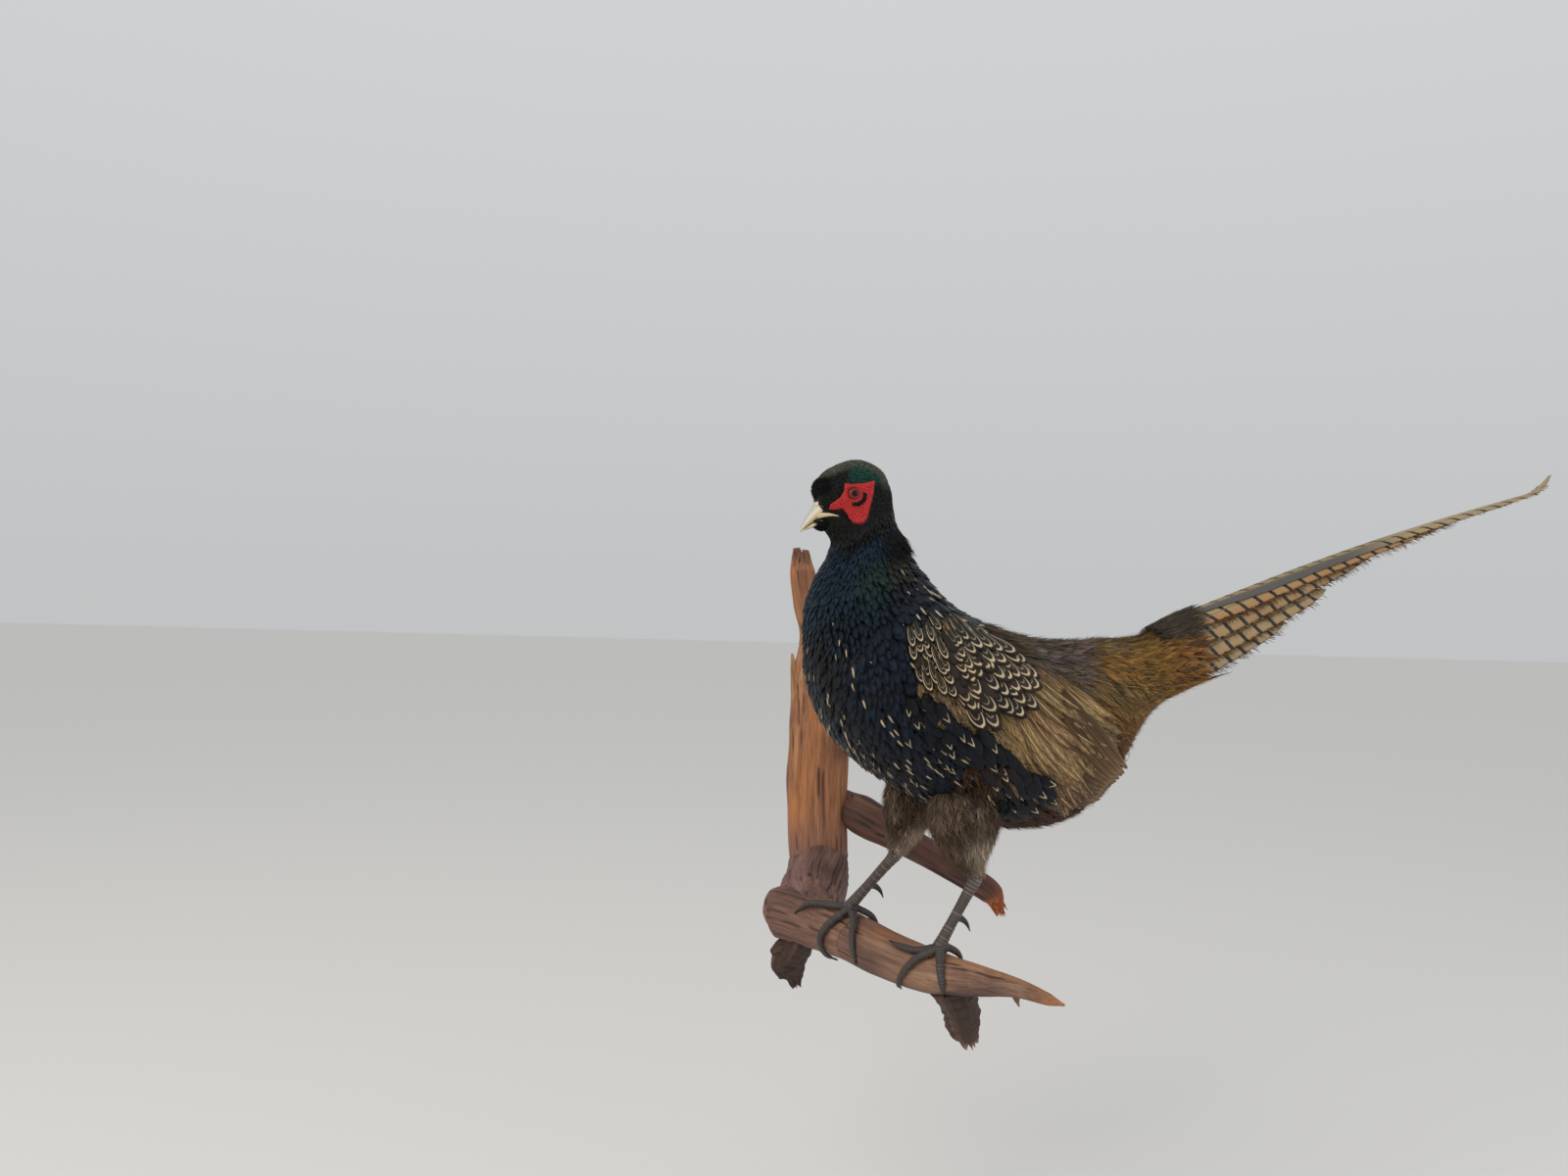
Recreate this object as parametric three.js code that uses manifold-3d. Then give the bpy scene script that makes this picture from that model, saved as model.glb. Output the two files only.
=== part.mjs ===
// Life-size mounted cock pheasant of the dark form, standing on a driftwood wall mount.
// Millimetres. Origin on the wall at the flat back of the post, +X right along the wall,
// +Y into the wall, +Z up. The bird looks along -X, turned a little out of the wall.
import * as THREE from 'three';
import { mergeVertices } from 'three/addons/utils/BufferGeometryUtils.js';
import Module from 'manifold-3d';

const wasm = await Module();
wasm.setup();

// ---- driving dimensions -------------------------------------------------------------
const gap = 0.4;                    // clearance between neighbouring solids
const bodyCentre = [115, -200, 30]; // trunk centre in the mount's frame
const bodyYaw = 28;                 // degrees the breast is turned out from the wall
const bodySides = 18;               // points round each rib of the body
const stepsPerRib = 2;              // body rings between two ribs
const neckPivot = 115;              // forward place of the axis that the head turns about
const rumpPivot = -150;             // forward place of the axis that the tail turns about
const headTurn = 16;                // degrees that the head looks to the bird's right
const wingLift = 6;                 // how far a folded wing stands off the flank
const eyeRadius = 5.4;
const eyeCentre = [17.4, 16.6, 175.1]; // forward of the neck axis, outward, up
const wattleThickness = 1.8;
const gapeThickness = 1.2;
const cheekReach = [3, 40];         // depths from the head's middle that a cheek plate spans
const wingReach = [20, 110];        // depths from the body's middle that a wing spans
const tailLength = 424;             // tail root to the tip of the central pair
const tailYaw = 11.3;
const tailPitch = 18.5;
const tailBow = 7;                  // upward bow of the tail at its middle
const tipCurl = 12;                 // lift of the last part of the central pair
const roofRadius = 18;              // rounding along the ridge of the closed tail
const roofSlope = 75;               // degrees that the sides of the tail hang down
const vaneThickness = 0.8;
const layerPitch = 1.4;             // depth from one tail feather to the next one under it
const covertLength = 52;            // coverts lying on the tail root
const covertHalf = 34;              // their half width along the slope of the roof
const underCovertLength = 100;      // soft coverts under the tail root
const postBackY = 0;                // the wall plane

const black = [0.06, 0.07, 0.09];
const brown = [0.36, 0.26, 0.17];
const tan = [0.55, 0.42, 0.28];
const horn = [0.78, 0.70, 0.60];
const red = [0.78, 0.06, 0.05];
const legGrey = [0.30, 0.27, 0.25];
const wood = [0.55, 0.33, 0.19];
const bark = [0.35, 0.22, 0.18];

// Ribs of head, neck and trunk in the bird's own plane, from the tail root forward:
// back line (forward, up), belly line (forward, up), half width, turn in degrees.
const ribs = [
  [-189, 84, -208.7, 25.2, 25, 16.7],
  [-166, 72, -174, 9, 35, 10],
  [-128, 69, -133, -24, 49, 3],
  [-88, 68, -97, -65, 60, 0],
  [-42, 70, -60, -82, 67, 0],
  [3, 80, -8, -80, 72, 0],
  [30, 89, 32, -67, 73, 0],
  [51, 99, 72, -50, 73, 0],
  [64, 108, 105, -31, 71, 0],
  [73, 117, 132, -8, 67, 0],
  [79, 125, 150, 22, 60, 0],
  [84, 132, 159, 55, 50, 0],
  [88, 140, 161, 87, 41, 3],
  [92, 149, 155, 110, 33, 8],
  [96, 160, 146.5, 125, 28, 13],
  [97.5, 170, 142.5, 138, 24.5, 16],
  [99, 181, 145.5, 145, 21.5, 16],
  [107, 195.5, 151, 150.5, 19.5, 16],
  [126, 202, 153, 152.5, 17, 16],
  [147, 194.5, 154.5, 154.5, 13.5, 16],
  [156, 186, 156.3, 157, 9.5, 16],
];
const neckRib = 11;                 // where the neck leaves the trunk
const headRib = 14.5;               // where the head leaves the neck
const lastRib = ribs.length - 1;
const ribGap = 0.05;                // rib steps left open at a parting cut

// Folded wing: outline on the flank (forward, up) from the shoulder round the tip.
const wingOutline = [
  [112, 44], [106, 74], [84, 94], [48, 80], [14, 56], [-30, 44], [-62, 12], [-84, -28],
  [-88, -44], [-60, -54], [-34, -55], [4, -46], [40, -34], [78, -14], [104, 12],
];

// Red wattle round the eye (forward of the neck axis, up).
const wattleOutline = [
  [34.5, 163], [33.5, 167], [27, 172.5], [24.3, 182.6], [17, 182.2], [0.5, 185.7],
  [2.5, 175], [7.3, 159.4], [11.5, 154.3], [17, 157.4], [25, 165.3], [30, 163],
];

// Horny corner of the mouth, running back from the bill (forward of the neck axis, up).
const gapeOutline = [[36.4, 161], [29, 159.6], [24.6, 158.2], [29, 156.6], [36.4, 156.4]];

// Tail feathers on one side, from the ridge down: share of the tail's length,
// slope distance from the ridge at root and at tip, half width.
const tailFeathers = [
  [1.0, 9.4, 7.2, 8.6],
  [0.72, 13, 8, 9],
  [0.56, 20, 10, 10.5],
  [0.49, 27, 16, 11],
  [0.42, 34, 24, 11],
  [0.36, 41, 32, 11],
  [0.3, 47, 39, 10.5],
  [0.245, 52, 45, 10],
  [0.19, 56, 50, 9],
];

// Log under the bird, from its left end to the tip: centre and radius.
const logPath = [
  [-52, -86, -152, 14.7], [-40, -90, -150, 23], [-7, -110, -154, 22.9], [19, -148, -155, 20.4],
  [45, -185, -159, 18.9], [79, -222, -161, 17.4], [108, -248, -158, 12.2],
  [134, -266, -158, 7.2], [153, -280, -161, 4.3], [163, -286, -163, 1],
];
const logSplit = 0.35;              // share of the log that belongs to the knob
const logSaw = 0.003;               // share left open between knob and perch

// ---- small helpers ------------------------------------------------------------------
const radians = THREE.MathUtils.degToRad;

function blend(a, b, share) {
  return a + (b - a) * share;
}

// Smooth value of column `column` of a table of rows at the row position s.
function smoothColumn(table, column, s) {
  const row = Math.min(Math.max(Math.floor(s), 0), table.length - 2);
  const t = s - row;
  const at = (i) => table[Math.min(Math.max(i, 0), table.length - 1)][column];
  const [a, b, c, d] = [at(row - 1), at(row), at(row + 1), at(row + 2)];
  const slopeB = (c - a) / 2;
  const slopeC = (d - b) / 2;
  const t2 = t * t;
  const t3 = t2 * t;
  return b * (2 * t3 - 3 * t2 + 1) + slopeB * (t3 - 2 * t2 + t)
    + c * (3 * t2 - 2 * t3) + slopeC * (t3 - t2);
}

// Side faces between rings of equal count, as one closed run of quads from ring to ring.
function sideFaces(rings) {
  const count = rings[0].length;
  const faces = [];
  for (let r = 0; r < rings.length - 1; r += 1) {
    for (let i = 0; i < count; i += 1) {
      const a = r * count + i;
      const b = r * count + (i + 1) % count;
      faces.push(a, b, a + count, b, b + count, a + count);
    }
  }
  return faces;
}

// Closed body from rings of equal count, each end closed by a fan to its middle.
function loft(rings) {
  const count = rings[0].length;
  const points = rings.flat();
  const middles = [rings[0], rings[rings.length - 1]].map((ring) => (
    ring.reduce((sum, p) => sum.add(p), new THREE.Vector3()).divideScalar(count)));
  const faces = sideFaces(rings);
  const first = points.length;
  const top = (rings.length - 1) * count;
  for (let i = 0; i < count; i += 1) {
    const j = (i + 1) % count;
    faces.push(first, j, i, first + 1, top + i, top + j);
  }
  return facingOut(geometryOf([...points, ...middles], faces));
}

// The same for a bent sheet, whose rings run out along one face and back along the
// other: each end is closed by quads across the sheet's thickness.
function sheetLoft(rings) {
  const count = rings[0].length;
  const faces = sideFaces(rings);
  const top = (rings.length - 1) * count;
  for (let i = 0; i < count / 2 - 1; i += 1) {
    const [a, b, c, d] = [i, i + 1, count - 2 - i, count - 1 - i];
    faces.push(a, c, b, a, d, c, top + a, top + b, top + c, top + a, top + c, top + d);
  }
  return facingOut(geometryOf(rings.flat(), faces));
}

function geometryOf(points, faces) {
  const geometry = new THREE.BufferGeometry();
  const flat = points.flatMap((p) => [p.x, p.y, p.z]);
  geometry.setAttribute('position', new THREE.Float32BufferAttribute(flat, 3));
  geometry.setIndex(faces);
  return geometry;
}

function signedVolume(geometry) {
  const place = geometry.getAttribute('position');
  const index = geometry.getIndex();
  const corner = [0, 1, 2].map(() => new THREE.Vector3());
  let volume = 0;
  for (let i = 0; i < index.count; i += 3) {
    corner.forEach((p, k) => p.fromBufferAttribute(place, index.getX(i + k)));
    volume += corner[0].dot(corner[1].clone().cross(corner[2])) / 6;
  }
  return volume;
}

function facingOut(geometry) {
  if (signedVolume(geometry) > 0) return geometry;
  const index = geometry.getIndex();
  for (let i = 0; i < index.count; i += 3) {
    const second = index.getX(i + 1);
    index.setX(i + 1, index.getX(i + 2));
    index.setX(i + 2, second);
  }
  return geometry;
}

function toSolid(geometry) {
  const bare = geometry.clone();
  bare.deleteAttribute('normal');
  bare.deleteAttribute('uv');
  const merged = mergeVertices(bare, 1e-4);
  return new wasm.Manifold(new wasm.Mesh({
    numProp: 3,
    vertProperties: new Float32Array(merged.getAttribute('position').array),
    triVerts: new Uint32Array(merged.getIndex().array),
  }));
}

function toGeometry(solid) {
  const mesh = solid.getMesh();
  const geometry = new THREE.BufferGeometry();
  geometry.setAttribute('position', new THREE.BufferAttribute(mesh.vertProperties, 3));
  geometry.setIndex(new THREE.BufferAttribute(mesh.triVerts, 1));
  return geometry;
}

// First geometry less the others.
function cut(geometry, ...tools) {
  return toGeometry(tools.reduce((solid, tool) => solid.subtract(toSolid(tool)), toSolid(geometry)));
}

function join(...pieces) {
  return toGeometry(pieces.map(toSolid).reduce((solid, piece) => solid.add(piece)));
}

// Round body along points [x, y, z, radius], or the stretch of it between two shares;
// `squash` flattens it along the up side, `lumps` makes its outline uneven and `grow`
// adds to the radius.
function limb(points, options = {}) {
  const { sides = 10, steps = 12, squash = 1, lumps = 0, grow = 0, from = 0, to = 1 } = options;
  const curve = new THREE.CatmullRomCurve3(points.map((p) => new THREE.Vector3(...p)));
  const rings = [];
  for (let k = 0; k <= steps; k += 1) {
    const t = blend(from, to, k / steps);
    const centre = curve.getPoint(t);
    const ahead = curve.getTangent(t);
    const across = new THREE.Vector3(ahead.y, -ahead.x, 0);
    if (across.length() < 0.2) across.set(1, 0, 0);
    across.addScaledVector(ahead, -across.dot(ahead)).normalize();
    const lift = new THREE.Vector3().crossVectors(across, ahead).normalize();
    const radius = smoothColumn(points, 3, t * (points.length - 1)) + grow;
    const ring = [];
    for (let i = 0; i < sides; i += 1) {
      const angle = 2 * Math.PI * i / sides;
      const uneven = 1 + lumps * (Math.sin(3 * angle + 5 * t) + 0.6 * Math.sin(2 * angle - 9 * t + 1));
      ring.push(centre.clone()
        .addScaledVector(across, radius * uneven * Math.cos(angle))
        .addScaledVector(lift, radius * uneven * squash * Math.sin(angle)));
    }
    rings.push(ring);
  }
  return loft(rings);
}

// ---- body frame ---------------------------------------------------------------------
// Point from the bird's own forward, left and up distances to the mount's frame.
function birdPoint(forward, left, up) {
  const yaw = radians(bodyYaw);
  return new THREE.Vector3(
    bodyCentre[0] - forward * Math.cos(yaw) + left * Math.sin(yaw),
    bodyCentre[1] - forward * Math.sin(yaw) - left * Math.cos(yaw),
    bodyCentre[2] + up,
  );
}

// The same with the place first turned to the bird's right about a standing axis.
function turnedPoint(forward, left, up, turn, pivot) {
  const angle = radians(turn);
  const reach = forward - pivot;
  return birdPoint(
    pivot + reach * Math.cos(angle) + left * Math.sin(angle),
    left * Math.cos(angle) - reach * Math.sin(angle),
    up,
  );
}

function headPoint(forward, left, up) {
  return turnedPoint(neckPivot + forward, left, up, headTurn, neckPivot);
}

// Ring of the body at rib position s, grown outward by `grow`.
function bodyRing(s, grow = 0) {
  const [backF, backU, bellyF, bellyU, half, turn] = [0, 1, 2, 3, 4, 5]
    .map((column) => smoothColumn(ribs, column, s));
  const pivot = s > lastRib / 2 ? neckPivot : rumpPivot;
  const reach = Math.hypot(backF - bellyF, backU - bellyU) / 2;
  const dirF = (backF - bellyF) / 2 / reach;
  const dirU = (backU - bellyU) / 2 / reach;
  const ring = [];
  for (let i = 0; i < bodySides; i += 1) {
    const angle = 2 * Math.PI * i / bodySides;
    const rise = (reach + grow) * Math.cos(angle);
    const side = (half + grow) * Math.sin(angle);
    ring.push(turnedPoint(
      (backF + bellyF) / 2 + dirF * rise,
      side,
      (backU + bellyU) / 2 + dirU * rise,
      turn,
      pivot,
    ));
  }
  return ring;
}

function bodyPiece(from, to, grow = 0) {
  const steps = Math.round((to - from) * stepsPerRib);
  const rings = [];
  for (let k = 0; k <= steps; k += 1) rings.push(bodyRing(blend(from, to, k / steps), grow));
  return loft(rings);
}

// ---- head ---------------------------------------------------------------------------
// Plate lying on the side of the head: a prism over an outline, kept between two depths.
function cheekPlate(outline, thickness, side) {
  const rings = cheekReach.map((out) => outline.map(([f, u]) => headPoint(f, side * out, u)));
  const prism = toSolid(loft(rings));
  const outer = toSolid(bodyPiece(headRib, lastRib, thickness + gap));
  const inner = toSolid(bodyPiece(headRib - 1, lastRib, gap));
  return toGeometry(prism.intersect(outer).subtract(inner));
}

function eyeBall(side, grow = 0) {
  const ball = new THREE.SphereGeometry(eyeRadius + grow, 9, 6);
  const [forward, out, up] = eyeCentre;
  const place = headPoint(forward, side * out, up);
  ball.translate(place.x, place.y, place.z);
  return ball;
}

// Bill half from rows: upper edge (forward, up), lower edge (forward, up), half width.
function billHalf(rows, grow = 0) {
  const rings = rows.map(([topF, topU, lowF, lowU, half]) => {
    const ring = [];
    for (let i = 0; i < 10; i += 1) {
      const angle = 2 * Math.PI * i / 10;
      ring.push(headPoint(
        (topF + lowF) / 2 + (topF - lowF) / 2 * Math.cos(angle),
        (half + grow) * Math.sin(angle),
        (topU + lowU) / 2 + ((topU - lowU) / 2 + grow) * Math.cos(angle),
      ));
    }
    return ring;
  });
  return loft(rings);
}

const upperBillRows = [
  [40.6, 169.6, 36, 158.4, 7.2], [42.6, 166.6, 38, 156.8, 6.8], [45, 163.2, 40.6, 155.2, 5.9],
  [47.7, 158.8, 43.6, 153.2, 4.9], [50.1, 154.6, 46.8, 150.9, 3.6], [51.9, 150.8, 49.6, 148.4, 2],
  [52.6, 147.6, 51.9, 146.4, 0.6],
];
const lowerBillRows = [
  [36, 157.2, 36, 151.6, 6.2], [39.6, 154.9, 39.4, 151, 5.1], [43, 152.4, 42.6, 150, 3.8],
  [45.8, 150.6, 45.6, 149.2, 2.4], [47.8, 149.2, 47.6, 148.4, 0.8],
];

// ---- wings --------------------------------------------------------------------------
function wing(side) {
  const rings = wingReach.map((out) => wingOutline.map(([f, u]) => birdPoint(f, side * out, u)));
  const outer = toSolid(bodyPiece(1, neckRib + 1, wingLift));
  const inner = toSolid(bodyPiece(0, neckRib + 1, gap));
  return toGeometry(toSolid(loft(rings)).intersect(outer).subtract(inner));
}

// ---- tail ---------------------------------------------------------------------------
// Place on the roof-shaped tail: distance along it, slope distance from the ridge to
// one side, depth under the outer surface.
function tailPoint(along, slope, depth, side) {
  const yaw = radians(tailYaw);
  const pitch = radians(tailPitch);
  const turnAt = radians(roofSlope) * roofRadius;
  const angle = Math.min(slope / roofRadius, radians(roofSlope));
  const straight = Math.max(slope - turnAt, 0);
  const out = roofRadius * Math.sin(angle) + straight * Math.cos(angle) - depth * Math.sin(angle);
  const drop = roofRadius * (1 - Math.cos(angle)) + straight * Math.sin(angle)
    + depth * Math.cos(angle);
  const share = along / tailLength;
  const curl = tipCurl * Math.max((share - 0.93) / 0.07, 0) ** 2;
  const lift = tailBow * Math.sin(Math.PI * Math.min(share, 1)) + curl - drop;
  const root = turnedPoint(ribs[0][0], 0, ribs[0][1] + 1, ribs[0][5], rumpPivot);
  const ahead = along * Math.cos(pitch) - lift * Math.sin(pitch);
  return new THREE.Vector3(
    root.x + ahead * Math.cos(yaw) + side * out * Math.sin(yaw),
    root.y + ahead * Math.sin(yaw) - side * out * Math.cos(yaw),
    root.z + along * Math.sin(pitch) + lift * Math.cos(pitch),
  );
}

// Closed sheet over the tail roof: `edges(t)` gives the two slope distances at share t.
function roofSheet(from, to, steps, columns, depth, thickness, side, edges) {
  const rings = [];
  for (let k = 0; k <= steps; k += 1) {
    const t = k / steps;
    const along = blend(from, to, t);
    const [low, high] = edges(t);
    const ring = [];
    for (let i = 0; i <= columns; i += 1) {
      ring.push(tailPoint(along, blend(low, high, i / columns), depth, side));
    }
    for (let i = columns; i >= 0; i -= 1) {
      ring.push(tailPoint(along, blend(low, high, i / columns), depth + thickness, side));
    }
    rings.push(ring);
  }
  return sheetLoft(rings);
}

function tailFeather(order, side) {
  const [share, rootSlope, tipSlope, half] = tailFeathers[order];
  const edges = (t) => {
    const width = half * Math.min(0.45 + 2.4 * t, 1) * (1 - 0.35 * t) * Math.sqrt(1 - t ** 6 * 0.985);
    const middle = blend(rootSlope, tipSlope, t);
    return [Math.max(middle - width, gap / 2), middle + width];
  };
  const steps = Math.round(4 + 5 * share);
  const columns = rootSlope < roofRadius * 1.6 ? 3 : 2;
  const depth = order * layerPitch;
  return roofSheet(gap, tailLength * share, steps, columns, depth, vaneThickness, side, edges);
}

// Coverts on top of the tail root, one sheet over both sides.
function upperTailCoverts() {
  const rings = [];
  for (let k = 0; k <= 4; k += 1) {
    const t = k / 4;
    const half = covertHalf * (1 - 0.75 * t * t);
    const ring = [];
    const slopes = Array.from({ length: 9 }, (unused, i) => blend(-half, half, i / 8));
    const put = (slope, depth) => {
      const along = blend(gap, covertLength, t);
      ring.push(tailPoint(along, Math.abs(slope), depth, Math.sign(slope) || 1));
    };
    slopes.forEach((slope) => put(slope, blend(-4, -2.6, t)));
    slopes.reverse().forEach((slope) => put(slope, -1.7));
    rings.push(ring);
  }
  return sheetLoft(rings);
}

// Soft coverts filling the hollow under the tail root.
function underTailCoverts() {
  const rings = [];
  for (let k = 0; k <= 6; k += 1) {
    const t = k / 6;
    const along = blend(gap, underCovertLength, t);
    const half = blend(5.5, 2, t);
    const top = blend(16, 20, t);
    const bottom = blend(64, 34, t);
    const ring = [];
    for (let i = 0; i < 10; i += 1) {
      const angle = 2 * Math.PI * i / 10;
      const drop = (top + bottom) / 2 + (bottom - top) / 2 * Math.cos(angle);
      const ridge = tailPoint(along, 0, drop, 1);
      const sideways = tailPoint(along, 0, drop, 1)
        .sub(tailPoint(along, 1, drop, 1)).setZ(0).normalize();
      ring.push(ridge.addScaledVector(sideways, half * Math.sin(angle)));
    }
    rings.push(ring);
  }
  return loft(rings);
}

// ---- log and legs -------------------------------------------------------------------
const logPoints = logPath.map((p) => new THREE.Vector3(...p));
const logCurve = new THREE.CatmullRomCurve3(logPoints);

function logPiece(from, to, grow = 0) {
  const steps = Math.round(19 * (to - from));
  return limb(logPath, { sides: 11, steps, squash: 0.95, lumps: 0.03, grow, from, to });
}

// The log's two lengths, knob end first.
function logLengths(grow = 0) {
  return [logPiece(0, logSplit, grow), logPiece(logSplit + logSaw, 1, grow)];
}

// Place on the log's skin: share along it, degrees round from the top to the front.
function onLog(share, around, lift) {
  const centre = logCurve.getPoint(share);
  const ahead = logCurve.getTangent(share);
  const front = new THREE.Vector3(ahead.y, -ahead.x, 0).normalize();
  const up = new THREE.Vector3().crossVectors(front, ahead).normalize();
  const radius = smoothColumn(logPath, 3, share * (logPath.length - 1)) + lift;
  return centre
    .addScaledVector(front, radius * Math.sin(radians(around)))
    .addScaledVector(up, radius * Math.cos(radians(around)));
}

const ankleRise = 9;                // end of the shank over the log
const padRadius = 5.6;
const frontToe = 3.5;               // radius of a front toe at the pad
const hindToe = 2.9;
const thighSides = 12;
const thighSteps = 8;

// Toe with its claw along places on the log [share, around].
function toe(places, thick) {
  const last = places.length - 1;
  const rows = places.map(([share, around], i) => {
    const radius = i === last ? 0.7 : thick * (1 - 0.14 * i);
    const point = onLog(share, around, i === 0 ? 6 : radius + gap);
    return [point.x, point.y, point.z, radius];
  });
  return limb(rows, { sides: 6, steps: 6 });
}

// Thigh rows and hock in the bird's own frame: forward, left, up, and on the thigh half
// length and half width; foot and toes as places on the log (share, around), each toe from
// the pad to the claw tip.
const legs = {
  left: {
    thigh: [
      [38, 28, -28, 24, 16], [38, 28, -50, 31, 20], [38, 28, -70, 32, 20], [35, 26, -88, 24, 17],
      [29, 24.5, -102, 13, 11], [20.5, 21.5, -114, 6.8, 6.8],
    ],
    hock: [19.9, 21.1, -115],
    foot: [0.578, 8],
    toes: [
      [[0.578, 8], [0.536, 32], [0.5, 36], [0.468, 30]],
      [[0.578, 14], [0.54, 52], [0.522, 84], [0.508, 118], [0.5, 150]],
      [[0.58, 16], [0.6, 66], [0.604, 98], [0.594, 138]],
      [[0.582, 0], [0.595, -30], [0.603, -60]],
    ],
  },
  right: {
    thigh: [
      [46, -33, -28, 16, 14], [46, -33, -50, 22, 17], [46, -34, -70, 22.5, 18], [46, -37, -86, 18, 15],
      [48, -40, -97, 11, 10], [50.5, -41.5, -105.5, 6.6, 6.6],
    ],
    hock: [50.7, -41.7, -106],
    foot: [0.34, 8],
    toes: [
      [[0.34, 8], [0.28, 24], [0.228, 40], [0.193, 66]],
      [[0.34, 14], [0.318, 70], [0.308, 100], [0.312, 130], [0.322, 156]],
      [[0.345, 12], [0.372, 30], [0.392, 60], [0.408, 94], [0.408, 118]],
      [[0.345, 0], [0.36, -30], [0.372, -56]],
    ],
  },
};

function ankleOf(leg) {
  return onLog(leg.foot[0], leg.foot[1], ankleRise);
}

function thighPiece(leg, wingGeometry) {
  const rings = Array.from({ length: thighSteps + 1 }, (unusedRing, i) => {
    const s = (i / thighSteps) * (leg.thigh.length - 1);
    const [forward, left, up, long, wide] = leg.thigh[0].map((unusedValue, column) => (
      smoothColumn(leg.thigh, column, s)));
    return Array.from({ length: thighSides }, (unusedPoint, j) => {
      const angle = (j / thighSides) * 2 * Math.PI;
      return birdPoint(forward + long * Math.cos(angle), left + wide * Math.sin(angle), up);
    });
  });
  return cut(loft(rings), bodyPiece(0, neckRib + 1, gap), wingGeometry, shankPiece(leg, gap));
}

function shankPiece(leg, grow = 0) {
  const hock = birdPoint(...leg.hock);
  const ankle = ankleOf(leg);
  const length = hock.distanceTo(ankle);
  const shares = [(1 - grow) / length, 0.14, 0.6, 0.97 + grow / length];
  const rows = [5, 4.6, 4.1, 4.7].map((radius, i) => {
    const p = hock.clone().lerp(ankle, shares[i]);
    return [p.x, p.y, p.z, radius];
  });
  return limb(rows, { sides: 8, steps: 5, grow });
}

// Distance out from the shank's axis, rise and radius along the spur.
const spurRows = [[1, 0.5, 3.2], [6, -1, 2.7], [11, -5, 1.7], [14.5, -11.5, 0.5]];

// Horny spur on the back of the shank, pointing back and down.
function spur(leg) {
  const hock = birdPoint(...leg.hock);
  const ankle = ankleOf(leg);
  const base = hock.clone().lerp(ankle, 0.62);
  const back = birdPoint(-1, 0.1, 0).sub(birdPoint(0, 0, 0));
  const rows = spurRows.map(([out, rise, radius]) => {
    const p = base.clone().addScaledVector(back, out);
    return [p.x, p.y, p.z + rise, radius];
  });
  return cut(limb(rows, { sides: 6, steps: 4 }), shankPiece(leg, gap));
}

function foot(leg) {
  const pad = new THREE.SphereGeometry(padRadius, 8, 5);
  const centre = onLog(leg.foot[0], leg.foot[1], padRadius - 0.2);
  pad.translate(centre.x, centre.y, centre.z);
  const toes = leg.toes.map((places, i) => toe(places, i === 3 ? hindToe : frontToe));
  const whole = join(pad, ...toes);
  return cut(whole, shankPiece(leg, gap), ...logLengths(gap));
}

// ---- driftwood ----------------------------------------------------------------------
const postRows = [
  [-24, -14, 166, 8], [-23, -15, 150, 12], [-19, -16, 120, 12.5], [-10, -17, 90, 15],
  [-8, -19, 50, 22], [-4, -21, 0, 26.5], [-3, -23, -60, 28], [0, -24, -118, 27.5],
];

function postPiece(grow = 0) {
  return limb(postRows, { sides: 12, steps: 8, squash: 0.9, lumps: 0.045, grow });
}

// Everything behind the wall plane, which trims the mount flat.
function behindWall() {
  const box = new THREE.BoxGeometry(400, 200, 600);
  box.translate(0, postBackY + 100, 0);
  return box;
}

const collarRows = [
  [1, -26, -118.4, 27], [-3, -46, -131, 28.5], [-11, -74, -142, 29], [-12, -104, -151, 21],
];
const sideBranchRows = [
  [8, -33, -67, 18], [38, -40, -75, 17.2], [69, -49, -90, 14.3], [104, -58, -108, 12.4],
  [134, -66, -124, 11.5], [153, -71, -136, 10.5], [160, -73, -151, 3.5],
];
const snagRows = [
  [-16, -98, -165, 12.8], [-24, -92, -182, 13.8], [-31, -87, -195, 13], [-25, -85, -205, 9.5],
  [-22, -85, -215, 3.5],
];
const stubRows = [
  [90, -227, -168, 16.6], [98, -225, -186, 14.3], [102, -222, -200, 11.4], [108, -218, -215, 7.6],
];

function sideBranch() {
  return cut(limb(sideBranchRows, { sides: 10, steps: 8, lumps: 0.05 }), postPiece(gap));
}

function collar(grow = 0) {
  return limb(collarRows, { sides: 11, steps: 5, squash: 0.96, lumps: 0.04, grow });
}

function knob() {
  return cut(join(collar(), logLengths()[0]), postPiece(gap), behindWall());
}

function snag() {
  return cut(limb(snagRows, { sides: 9, steps: 6, lumps: 0.1 }), collar(gap), ...logLengths(gap));
}

function stub() {
  return cut(limb(stubRows, { sides: 9, steps: 4, lumps: 0.07 }), ...logLengths(gap));
}

// ---- model --------------------------------------------------------------------------
const group = new THREE.Group();

function add(name, geometry, colour, roughness = 0.85) {
  const material = new THREE.MeshStandardMaterial({
    color: new THREE.Color(...colour), roughness, metalness: 0,
  });
  const mesh = new THREE.Mesh(geometry, material);
  mesh.name = name;
  group.add(mesh);
}

const wings = { left: wing(1), right: wing(-1) };

add('trunk', bodyPiece(0, neckRib - ribGap), black);
add('neck', bodyPiece(neckRib, headRib - ribGap), black, 0.5);
add('head', cut(bodyPiece(headRib, lastRib), eyeBall(1, gap), eyeBall(-1, gap)), black, 0.6);
const billRoot = bodyPiece(headRib, lastRib, gap);
add('upper_bill', cut(billHalf(upperBillRows), billRoot), horn, 0.4);
add('lower_bill', cut(billHalf(lowerBillRows), billRoot, billHalf(upperBillRows, gap)), horn, 0.4);

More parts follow.
